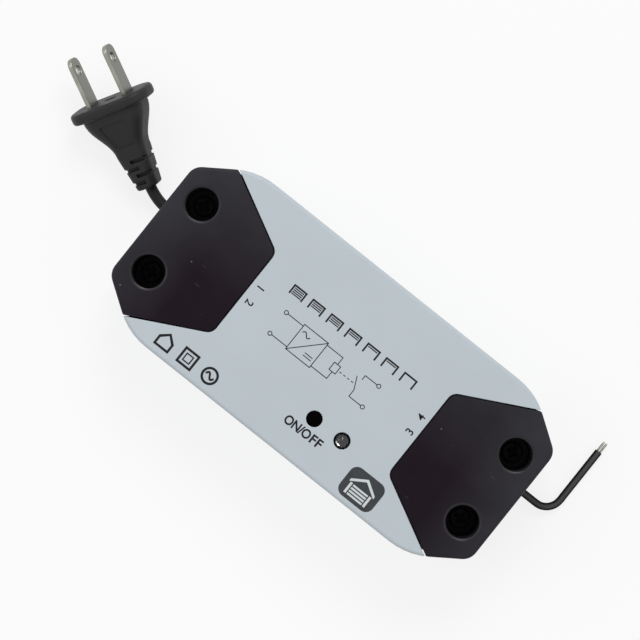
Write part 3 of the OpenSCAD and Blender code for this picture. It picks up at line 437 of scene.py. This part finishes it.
tipsPiece = twistTips(leadTips)
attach(tipsPiece, "case")
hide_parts("lead_tips")

mainsStub = {
    "exit": (-70, 5.3, 4.4),    # mm, where it leaves the end wall
    "tail": (-78.6, 7.6, 4.8),  # mm, where it enters the plug
    "diameter": 3.6,
    "pull": 0.37 * 8.6,         # mm, length of the curve's handles
    "steps": 8,
}
plugAxis = Vector(next(m for m in frame["record"]["mounts"] if m["name"] == "plug")["axis"]).normalized()


def layMainsStub(look):  # one gentle bend from the end wall into the plug
    start, end = Vector(look["exit"]), Vector(look["tail"])
    first, second = start - Vector((look["pull"], 0, 0)), end - plugAxis * look["pull"]
    points = []
    for step in range(look["steps"] + 1):
        t = step / look["steps"]
        s = 1 - t
        points.append(start * s**3 + first * 3 * s * s * t + second * 3 * s * t * t + end * t**3)
    return runCurve("mains_stub_jacket", [p * mm for p in points], look["diameter"] / 2 * mm, cordFinish)


stubPiece = layMainsStub(mainsStub)
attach(stubPiece, "case")
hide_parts("power_cord")


print("stage: case")
paleCase = {
    "colour": (187, 196, 202), "drift": 0.02, "driftSize": 0.03, "roughness": 0.52, "specular": 0.25,
    "grainSize": 0.00022, "grainHeight": 0.000006,
    "specks": [
        {"spacing": 0.011, "radius": 0.00013, "share": 0.3, "strength": 0.3, "colour": (120, 126, 130)},
    ],
    # painted shade in the gaps by the covers and along the floor
    "creviceShade": {"own": False, "reach": 0.0005, "full": 0.45, "none": 0.86, "colour": (62, 65, 67)},
    "edge": 0.2, "edgeAngle": 60.0,  # mm, degrees
}
blackCover = {
    "colour": (29, 22, 29), "drift": 0.12, "driftSize": 0.012, "roughness": 0.45, "specular": 0.05,
    "grainSize": 0.00018, "grainHeight": 0.000007,
    # painted sheen, lighter towards the outer end and the far side
    "paintedSheen": {"colour": (51, 50, 55), "inner": 0.05, "outer": 0.069, "alongShare": 0.8,
             "near": -0.004, "far": 0.022, "acrossShare": 0.7},
    # painted shade, near black, in the gaps round the cover
    "creviceShade": {"own": False, "reach": 0.0008, "full": 0.55, "none": 0.88, "colour": (4, 3, 4)},
    "specks": [
        {"spacing": 0.0065, "radius": 0.00026, "share": 0.12, "strength": 0.6, "colour": (150, 146, 148)},
        {"spacing": 0.004, "radius": 0.00012, "share": 0.06, "strength": 0.4, "colour": (120, 116, 120)},
        {"spacing": 0.0075, "radius": 0.0011, "share": 0.014, "strength": 0.25, "colour": (110, 106, 110),
         "stretch": 9, "turn": 12},
        {"spacing": 0.008, "radius": 0.0013, "share": 0.01, "strength": 0.25, "colour": (110, 106, 110),
         "stretch": 10, "turn": -38},
    ],
    "edge": 0.28,  # mm
}
paleFinish = moulded("paleCase", paleCase)
coverFinish = moulded("blackCover", blackCover)
for name in ("base_shell", "top_shell"):
    dress(nodes[name], paleFinish)
    softenEdges(nodes[name], paleCase)
for name in ("input_cover", "output_cover"):
    dress(nodes[name], coverFinish)
    softenEdges(nodes[name], blackCover)

blackScrew = {
    "colour": (26, 26, 28), "tarnish": 0.6, "tarnishSize": 0.002, "roughness": 0.5,
    "grainSize": 0.0003, "grainHeight": 0.000004,
    "edge": 0.2,  # mm
}
dress(nodes["cover_screws"], plated("blackScrew", blackScrew))
softenEdges(nodes["cover_screws"], blackScrew)

wellRims = {
    "x": 60.9, "y": 13.0,  # mm, the wells' middles either side of the case's
    "profile": [           # mm, radius and height from the cover's face
        (5.92, 0.008), (5.6, -0.05), (5.2, -0.22), (5.2, -0.55), (5.92, -0.55),
    ],
    "steps": 96,
}
rubbedRim = {
    "colour": (24, 20, 25), "drift": 0.15, "driftSize": 0.003, "roughness": 0.36, "specular": 0.28,
    "grainSize": 0.0002, "grainHeight": 0.000003,
}


def ringLoop(x, y, radius, steps=40):
    return [(x + radius * math.cos(2 * math.pi * k / steps), y + radius * math.sin(2 * math.pi * k / steps))
            for k in range(steps)]


# (radius, height) pairs turned about an upright axis, with one point for a radius of 0
def addTurned(mesh, centre, profile, steps=40, closed=False):
    rings = []
    for r, z in profile:
        loop = ringLoop(*centre, r, steps) if r else [centre]
        rings.append([mesh.verts.new((x, y, z)) for x, y in loop])
    if closed:
        rings.append(rings[0])
    for near, far in zip(rings, rings[1:]):
        for k in range(steps):
            after = (k + 1) % steps
            corners = [near[k % len(near)], near[after % len(near)],
                       far[after % len(far)], far[k % len(far)]]
            mesh.faces.new(list(dict.fromkeys(corners)))


def rubWellRims(look):  # the mouths of the screw wells, rubbed bright by the screwdriver
    mesh = bmesh.new()
    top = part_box("input_cover")[1].z / mm
    profile = [(r, top + z) for r, z in look["profile"]]
    for sx in (-1, 1):
        for sy in (-1, 1):
            addTurned(mesh, (sx * look["x"], sy * look["y"]), profile, look["steps"], closed=True)
    toFrame(mesh)
    endPiece(mesh, "well_rims", moulded("rubbedRim", rubbedRim))


rubWellRims(wellRims)


print("stage: button and lamp")
buttonBlack = {
    "colour": (3, 3, 4), "drift": 0.2, "driftSize": 0.018, "roughness": 0.55, "specular": 0.015,
    "grainSize": 0.0002, "grainHeight": 0.000006,
    "edge": 0.12,  # mm
}
buttonFinish = moulded("buttonBlack", buttonBlack)
for name in ("button_cap", "switch_plunger"):
    dress(nodes[name], buttonFinish)
softenEdges(nodes["button_cap"], buttonBlack)

lampResin = {
    "tints": ((0.95, 0.96, 0.96, 1), (0.9, 0.92, 0.93, 1)),
    "tintSize": 0.003, "tintSpan": (0.3, 0.7), "roughness": 0.06, "ior": 1.52,
}


def clearResin(name, look):
    material, tree, bsdf = newFinish(name)
    tint = mapped(tree, noise(tree, objectCoords(tree), look["tintSize"], detail=1), look["tintSpan"])
    tree.links.new(mixed(tree, tint, *look["tints"]), bsdf.inputs["Base Color"])
    bsdf.inputs["Roughness"].default_value = look["roughness"]
    bsdf.inputs["Transmission Weight"].default_value = 1.0
    bsdf.inputs["IOR"].default_value = look["ior"]
    return material


dress(nodes["status_led"], clearResin("lampResin", lampResin))
nodes["status_led"].data.shade_smooth()
lampCup = {
    "centre": (17.0, -16.6),  # mm
    "foot": 25.3,             # mm, underside of the cup's floor
    "rim": 31.2,              # mm, just under the face
    "radius": 2.46,
    "wall": 0.08,
}
# the liner's near black is painted shade round the lens
cupFinish = moulded("lampCupBlack", {
    "colour": (12, 11, 13), "drift": 0.3, "driftSize": 0.002, "roughness": 0.6, "specular": 0.1,
    "grainSize": 0.0003, "grainHeight": 0.000004,
})
lampAnvil = {  # mm, the places are from the cup's middle
    "place": (-0.42, -1.5), "size": (1.5, 0.8), "turn": -20, "top": 31.0, "thickness": 0.3,
    "lean": 0.135,  # rise of the plate along X
}
lampPotting = {"place": (-0.08, -0.28), "radius": 1.95, "top": 30.6, "thickness": 0.5}  # mm
pottingFinish = moulded("lampPotting", {
    "colour": (45, 43, 47), "drift": 0.12, "driftSize": 0.0009, "roughness": 0.7, "specular": 0.05,
    "grainSize": 0.0003, "grainHeight": 0.000004,
})
anvilFinish = plated("lampMetal", {
    "colour": (232, 232, 228), "tarnish": 0.9, "tarnishSize": 0.002, "roughness": 0.1,
    "grainSize": 0.0006, "grainHeight": 0.000001,
})


def endLamp(mesh, name, material):
    toFrame(mesh, lampCup["centre"])
    endPiece(mesh, name, material)


def buildLampCup(look):  # dark liner round the foot of the lens, a dark sheet that stands in for the shade where the dome meets its hole
    mesh = bmesh.new()
    out, foot, rim = look["radius"], look["foot"], look["rim"]
    inside, floor = out - look["wall"], foot + look["wall"]
    profile = [(0, foot), (out, foot), (out, rim), (inside, rim), (inside, floor), (0, floor)]
    addTurned(mesh, (0, 0), profile)
    endLamp(mesh, "lamp_cup", cupFinish)


def buildLampPotting(look):  # grey disc under the dome
    mesh = bmesh.new()
    r, top = look["radius"], look["top"]
    foot = top - look["thickness"]
    addTurned(mesh, look["place"], [(0, foot), (r, foot), (r, top), (0, top)])
    endLamp(mesh, "lamp_potting", pottingFinish)


def buildLampAnvil(look):  # the lead frame's bright plate
    mesh = bmesh.new()
    width, depth = look["size"]
    turn = math.radians(look["turn"])
    for corner in bmesh.ops.create_cube(mesh, size=1)["verts"]:
        x, y = corner.co.x * width, corner.co.y * depth
        corner.co = Vector((look["place"][0] + x * math.cos(turn) - y * math.sin(turn),
                            look["place"][1] + x * math.sin(turn) + y * math.cos(turn),
                            look["top"] - look["thickness"] * (0.5 - corner.co.z)))
        corner.co.z += look["lean"] * (corner.co.x - look["place"][0])
    endLamp(mesh, "lamp_anvil", anvilFinish)


buildLampCup(lampCup)
buildLampPotting(lampPotting)
buildLampAnvil(lampAnvil)


print("stage: plug")
plugMoulding = {
    "colour": (30, 29, 30), "drift": 0.2, "driftSize": 0.008, "roughness": 0.5, "specular": 0.3,
    "grainSize": 0.0003, "grainHeight": 0.000012,
    # painted shade in the plug's slots and recesses
    "creviceShade": {"own": True, "reach": 0.0016, "full": 0.6, "none": 0.8, "colour": (2, 2, 2)},
    "edge": 0.18,  # mm
}
dress(nodes["plug_body"], moulded("plugMoulding", plugMoulding))
softenEdges(nodes["plug_body"], plugMoulding)
plugRoll = math.radians(24)  # how far the plug lies over on its flange
plugSide = plugAxis.cross(Vector((0, 0, 1))).normalized()
plugUp = plugSide.cross(plugAxis)
bladeNormal = tuple(plugSide * math.cos(plugRoll) + plugUp * math.sin(plugRoll))
nickelBlade = {
    "colour": (158, 157, 147), "tarnish": 0.8, "tarnishSize": 0.004, "roughness": 0.32,
    "grainSize": 0.0004, "grainHeight": 0.000004, "brush": (1, 1, 6),
    # painted reflection: the flats darker than the edges
    "flatShade": {"normal": bladeNormal, "colour": (126, 126, 121)},
    "edge": 0.25,  # mm
}
dress(nodes["plug_blades"], plated("nickelBlade", nickelBlade))
softenEdges(nodes["plug_blades"], nickelBlade)


print("stage: face print")
darkInk = {
    "colour": (15, 15, 18), "drift": 0.15, "driftSize": 0.002, "roughness": 0.5, "specular": 0.2,
    "grainSize": 0.0003, "grainHeight": 0.000002,
}
badgeInk = dict(darkInk, colour=(58, 61, 65))
paleInk = dict(darkInk, colour=(205, 211, 214), drift=0.02)
inkFinish = moulded("darkInk", darkInk)
badgeFinish = moulded("badgeInk", badgeInk)
paleInkFinish = moulded("paleInk", paleInk)
inkLayer = {"under": 0.01, "over": 0.02}  # mm below and above the face


def addPlate(mesh, outer, inner=None, lift=0.0):  # a flat of ink, open in the middle where inner is given
    levels = (faceZ - inkLayer["under"] * mm, faceZ + (inkLayer["over"] + lift) * mm)
    loops = []
    for loop in (outer, inner):
        if loop:
            loops.append([[mesh.verts.new((x * mm, y * mm, z)) for x, y in loop] for z in levels])
    count = len(outer)
    for low, high in loops:
        for step in range(count):
            after = (step + 1) % count
            mesh.faces.new((low[step], low[after], high[after], high[step]))
    if not inner:
        mesh.faces.new(loops[0][1])
        mesh.faces.new(list(reversed(loops[0][0])))
        return
    for level in (0, 1):
        for step in range(count):
            after = (step + 1) % count
            mesh.faces.new((loops[0][level][step], loops[0][level][after],
                            loops[1][level][after], loops[1][level][step]))


def boxLoop(x, y, width, height):
    return [(x - width / 2, y - height / 2), (x + width / 2, y - height / 2),
            (x + width / 2, y + height / 2), (x - width / 2, y + height / 2)]


def pillLoop(x, y, width, height, radius, steps=8):
    points = []
    for quarter, (sx, sy) in enumerate(((1, 1), (-1, 1), (-1, -1), (1, -1))):
        for k in range(steps + 1):
            angle = math.radians(90 * quarter + 90 * k / steps)
            points.append((x + sx * (width / 2 - radius) + radius * math.cos(angle),
                           y + sy * (height / 2 - radius) + radius * math.sin(angle)))
    return points


def strokeLoop(points, width):  # an open line as a closed outline
    left, right = [], []
    for step, point in enumerate(points):
        before = Vector(points[max(0, step - 1)])
        after = Vector(points[min(len(points) - 1, step + 1)])
        along = (after - before).normalized()
        side = Vector((-along.y, along.x)) * width / 2
        left.append(tuple(Vector(point) + side))
        right.append(tuple(Vector(point) - side))
    return right + list(reversed(left))


def waveLine(x, y, width, height, steps=24):
    return [(x + width * (k / steps - 0.5), y + height / 2 * math.sin(2 * math.pi * k / steps))
            for k in range(steps + 1)]


def addRing(mesh, x, y, radius, line):
    addPlate(mesh, ringLoop(x, y, radius), ringLoop(x, y, radius - line))


def addFrame(mesh, x, y, width, height, line):
    addPlate(mesh, boxLoop(x, y, width, height), boxLoop(x, y, width - 2 * line, height - 2 * line))


doorRow = {  # mm
    "y": 10.15, "first": -21.3, "step": 7.1, "count": 7,
    "width": 5.0, "height": 3.3, "line": 0.55,  # of one door's frame
    "slats": 4, "slatDrop": 0.42, "slatStep": 0.62, "slatHeight": 0.34, "slatInset": 0.4,
}


def printDoorRow(mesh, look):  # one door in steps from shut to open
    w, h, t = look["width"] / 2, look["height"] / 2, look["line"]
    slatWidth = look["width"] - 2 * t - look["slatInset"]
    for place in range(look["count"]):
        x, y = look["first"] + place * look["step"], look["y"]
        addPlate(mesh, [(x - w, y - h), (x - w + t, y - h), (x - w + t, y + h - t), (x + w - t, y + h - t),
                        (x + w - t, y - h), (x + w, y - h), (x + w, y + h), (x - w, y + h)])
        slats = round(look["slats"] * (1 - place / (look["count"] - 1)))
        for slat in range(slats):
            slatY = y + h - t - look["slatDrop"] - look["slatStep"] * slat
            addPlate(mesh, boxLoop(x, slatY, slatWidth, look["slatHeight"]))


wiring = {  # mm
    "left": -20.4, "right": 15.4, "top": 3.3, "bottom": -4.7, "line": 0.26, "ring": 0.75,
    "feedAt": 3.6, "feedLength": 5.7,                                  # lines into the converter
    "boxAt": 11.2, "boxWidth": 9.5, "boxOver": 1.6,                    # converter, over the lines' spacing
    "waveAt": (-2.2, 2.4), "waveSize": (3.0, 1.3), "waveWeight": 1.2,  # its sign for what goes in
    "barX": 2.2, "barRows": (-2.0, -2.9), "barLength": 3.0,            # and for what comes out
    "coilGap": 6.0, "coilSize": (2.6, 3.0),
    "dashes": 4, "dashAt": 2.2, "dashStep": 1.5, "dashLength": 0.8,    # from the coil to the contact
    "contactAt": 5.2, "footLength": 2.4, "headLength": 1.6, "armLean": 1.9,
}


def printWiring(mesh, look):  # plain circuit signs: mains, converter, coil and open contact
    left, right, top, bottom = (look[side] for side in ("left", "right", "top", "bottom"))
    t, ring = look["line"], look["ring"]
    middle = (top + bottom) / 2
    for y in (top, bottom):
        addRing(mesh, left, y, ring, t)
        addPlate(mesh, boxLoop(left + look["feedAt"], y, look["feedLength"], t))
    boxX, boxW, boxH = left + look["boxAt"], look["boxWidth"], top - bottom + look["boxOver"]
    addFrame(mesh, boxX, middle, boxW, boxH, t)
    addPlate(mesh, strokeLoop([(boxX - boxW / 2 + t, middle - boxH / 2 + t),
                               (boxX + boxW / 2 - t, middle + boxH / 2 - t)], t))
    waveX, waveY = look["waveAt"]
    wave = waveLine(boxX + waveX, middle + waveY, *look["waveSize"])
    addPlate(mesh, strokeLoop(wave, t * look["waveWeight"]))
    for y in look["barRows"]:
        addPlate(mesh, boxLoop(boxX + look["barX"], middle + y, look["barLength"], t))
    coilX = boxX + boxW / 2 + look["coilGap"]
    coilW, coilH = look["coilSize"]
    for y in (top, bottom):
        addPlate(mesh, boxLoop((boxX + boxW / 2 + coilX) / 2, y, coilX - boxX - boxW / 2, t))
        coilEnd = math.copysign(coilH / 2, y - middle)
        addPlate(mesh, boxLoop(coilX, (y + middle + coilEnd) / 2, t, abs(y - middle) - coilH / 2 + t))
    addFrame(mesh, coilX, middle, coilW, coilH, t)
    for dash in range(look["dashes"]):
        dashX = coilX + look["dashAt"] + look["dashStep"] * dash
        addPlate(mesh, boxLoop(dashX, middle, look["dashLength"], t))
    contactX = right - look["contactAt"]
    for y in (top, bottom):
        addRing(mesh, right, y, ring, t)
        addPlate(mesh, boxLoop((contactX + right - ring) / 2, y, right - ring - contactX, t))
    foot, head = look["footLength"], look["headLength"]
    addPlate(mesh, boxLoop(contactX, bottom + foot / 2, t, foot))
    addPlate(mesh, strokeLoop([(contactX, bottom + foot), (contactX - look["armLean"], top - head)], t))
    addPlate(mesh, boxLoop(contactX, top - head / 2, t, head))


useSigns = {  # mm
    "y": -26.2, "house": -43.6, "squares": -35.0, "wave": -26.6, "size": 5.6, "line": 0.75,
    "eaves": 0.15, "innerEaves": -0.02, "waveSize": (1.1, 0.62),    # shares of half the size
    "innerRidge": 1.25, "innerSquare": 0.55, "waveWeight": 0.85,    # shares of the line
}


def printUseSigns(mesh, look):  # indoor use, double insulation, alternating current
    y, s, t = look["y"], look["size"] / 2, look["line"]
    x = look["house"]
    eaves, innerEaves = y + look["eaves"] * s, y + look["innerEaves"] * s
    outer = [(x - s, y - s), (x + s, y - s), (x + s, eaves), (x, y + s), (x - s, eaves)]
    inner = [(x - s + t, y - s + t), (x + s - t, y - s + t), (x + s - t, innerEaves),
             (x, y + s - look["innerRidge"] * t), (x - s + t, innerEaves)]
    addPlate(mesh, outer, inner)
    x = look["squares"]
    addFrame(mesh, x, y, 2 * s, 2 * s, t)
    addFrame(mesh, x, y, s, s, look["innerSquare"] * t)
    x = look["wave"]
    addRing(mesh, x, y, s, t)
    waveWidth, waveHeight = look["waveSize"]
    addPlate(mesh, strokeLoop(waveLine(x, y, waveWidth * s, waveHeight * s), t * look["waveWeight"]))


facePrint = bmesh.new()
printDoorRow(facePrint, doorRow)
printWiring(facePrint, wiring)
printUseSigns(facePrint, useSigns)
endPiece(facePrint, "face_print", inkFinish)

garageBadge = {  # mm, places are from the badge's middle
    "x": 30.8, "y": -24.4, "width": 12.6, "height": 10.2, "radius": 2.6,
    "lift": 0.02,  # of the pale sign above the plate
    "roofHalf": 4.6, "eaves": 0.7, "ridge": 3.7, "eavesDepth": 0.9, "ridgeDepth": 1.0,
    "postX": 3.6, "postY": -2.0, "postSize": (0.8, 3.8),
    "slats": 4, "slatY": -0.55, "slatStep": 1.0, "slatSize": (5.6, 0.62),
}


def printGarageBadge(look):  # dark rounded sign with a pale garage door on it
    x, y, lift = look["x"], look["y"], look["lift"]
    plate = bmesh.new()
    addPlate(plate, pillLoop(x, y, look["width"], look["height"], look["radius"]))
    endPiece(plate, "garage_badge", badgeFinish)
    sign = bmesh.new()
    left, right = x - look["roofHalf"], x + look["roofHalf"]
    eaves, ridge = y + look["eaves"], y + look["ridge"]
    under = eaves - look["eavesDepth"]
    addPlate(sign, [(left, eaves), (left, under), (x, ridge - look["ridgeDepth"]),
                    (right, under), (right, eaves), (x, ridge)], lift=lift)
    for side in (-1, 1):
        addPlate(sign, boxLoop(x + side * look["postX"], y + look["postY"], *look["postSize"]), lift=lift)
    for slat in range(look["slats"]):
        slatY = y + look["slatY"] - look["slatStep"] * slat
        addPlate(sign, boxLoop(x, slatY, *look["slatSize"]), lift=lift)
    endPiece(sign, "garage_badge_sign", paleInkFinish)


printGarageBadge(garageBadge)

wayNumbers = {
    "size": 3.6, "weight": 0.04,  # mm
    "groups": [                   # digits, centre in mm, turn in degrees
        ("1", (-31.2, 4.2), -90), ("2", (-31.2, -1.4), -90),
        ("3", (31.4, -1.6), 90), ("4", (31.4, 4.0), 90),
    ],
}
switchWords = {
    "size": 4.05, "weight": 0.1,  # mm
    "groups": [                   # letters, centre in mm, spacing, squeeze: the two halves of ON/OFF
        ("ON/O", (3.9, -21.83), 0.95, 0.9), ("FF", (10.95, -21.83), 1.06, 1.06),
    ],
}


def printWords(name, words, centre, turn, look, spacing=1.0, squeeze=1.0):
    data = bpy.data.curves.new(name, "FONT")
    data.body = words
    data.size = look["size"] * mm
    data.space_character = spacing
    data.offset = look["weight"] * mm
    data.align_x, data.align_y = "CENTER", "CENTER"
    data.extrude = inkLayer["over"] * mm
    data.materials.append(inkFinish)
    piece = bpy.data.objects.new(name, data)
    piece.location = (centre[0] * mm, centre[1] * mm, faceZ)
    piece.rotation_euler = (0, 0, math.radians(turn))
    piece.scale.x = squeeze
    bpy.context.scene.collection.objects.link(piece)
    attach(piece, "case")


for digit, centre, turn in wayNumbers["groups"]:
    printWords("way_number_" + digit, digit, centre, turn, wayNumbers)
for place, (letters, centre, spacing, squeeze) in enumerate(switchWords["groups"], 1):
    printWords("switch_words_" + str(place), letters, centre, 0, switchWords, spacing, squeeze)


print("stage: inner parts")
innerMetal = {
    "tarnish": 0.7, "tarnishSize": 0.003, "roughness": 0.38, "grainSize": 0.0004, "grainHeight": 0.000004,
}
innerPlastic = {
    "drift": 0.06, "driftSize": 0.006, "roughness": 0.5, "specular": 0.4,
    "grainSize": 0.00025, "grainHeight": 0.000006,
}
innerGloss = dict(innerPlastic, roughness=0.3)
metalClasses = {"brushed_steel", "brass", "cast_iron"}
dressed = {
    "pale_plastic", "black_plastic", "black_steel", "button_black", "clear_lens", "plug_black", "nickel",
}


def innerFinish(entry):  # finish of a part inside the case, from the record's colour and class
    colour = [255 * part for part in entry["base_color"][:3]]
    if entry["class"] in metalClasses:
        return plated(entry["slot"], dict(innerMetal, colour=colour))
    look = innerGloss if entry["class"] == "gloss_plastic" else innerPlastic
    return moulded(entry["slot"], dict(look, colour=colour))


slotFinishes = {e["slot"]: innerFinish(e) for e in frame["record"]["materials"] if e["slot"] not in dressed}
for part in frame["record"]["subparts"]:
    if part["material_slot"] in slotFinishes:
        dress(nodes[part["node"]], slotFinishes[part["material_slot"]])


print("stage: floor and light")
plainWhite = (1, 1, 1, 1)
studio = {
    "floor": 0.86,           # brightness of the floor
    "floorRoughness": 0.9,
    "floorSize": 8,          # m from its middle to each side
    "floorGap": 0.00005,     # m below the part
    "glow": 0.8,             # share of plain white in the floor as the camera sees it
    "ambient": 0.64,         # light from all round
    "key": {"place": (-0.45, 1.04, 1.3), "power": 10.5, "size": 0.75},
    "fill": {"place": (-1.2, -0.5, 1.2), "power": 3.5, "size": 1.0},
}


def seenDirectly(tree):  # 1 for rays from the camera, from gloss and through glass
    path = addNode(tree, "ShaderNodeLightPath", {}).outputs
    shown = calc(tree, "MAXIMUM", path["Is Camera Ray"], path["Is Glossy Ray"])
    return calc(tree, "MAXIMUM", shown, path["Is Transmission Ray"])


def blendShaders(tree, factor, first, second, end):
    blend = addNode(tree, "ShaderNodeMixShader", {0: factor, 1: first, 2: second})
    tree.links.new(blend.outputs[0], tree.nodes[end].inputs["Surface"])


def layFloor(look):
    material, tree, bsdf = newFinish("studioFloor")
    bsdf.inputs["Base Color"].default_value = (look["floor"],) * 3 + (1,)
    bsdf.inputs["Roughness"].default_value = look["floorRoughness"]
    bsdf.inputs["Specular IOR Level"].default_value = 0.0
    glow = addNode(tree, "ShaderNodeEmission", {"Color": plainWhite, "Strength": 1.0})
    share = calc(tree, "MULTIPLY", seenDirectly(tree), look["glow"])
    blendShaders(tree, share, bsdf.outputs[0], glow.outputs[0], "Material Output")
    mesh = bmesh.new()
    bmesh.ops.create_grid(mesh, x_segments=1, y_segments=1, size=look["floorSize"])
    floor = newMesh("floor", mesh, material)
    floor.location.z = -look["floorGap"]


def hangLight(name, look):
    data = bpy.data.lights.new(name, "AREA")
    data.energy = look["power"]
    data.size = look["size"]
    lamp = bpy.data.objects.new(name, data)
    lamp.location = look["place"]
    lamp.rotation_euler = (-Vector(look["place"])).to_track_quat("-Z", "Y").to_euler()
    bpy.context.scene.collection.objects.link(lamp)


def setWorld(look):
    world = bpy.data.worlds.new("studio")
    bpy.context.scene.world = world
    world.use_nodes = True
    tree = world.node_tree
    soft = tree.nodes["Background"]
    soft.inputs["Color"].default_value = plainWhite
    soft.inputs["Strength"].default_value = look["ambient"]
    seen = addNode(tree, "ShaderNodeBackground", {"Color": plainWhite, "Strength": 1.0})
    blendShaders(tree, seenDirectly(tree), soft.outputs[0], seen.outputs[0], "World Output")


layFloor(studio)
hangLight("keyLight", studio["key"])
hangLight("fillLight", studio["fill"])
setWorld(studio)
bpy.context.scene.view_settings.view_transform = "Standard"

print("stage: finish")
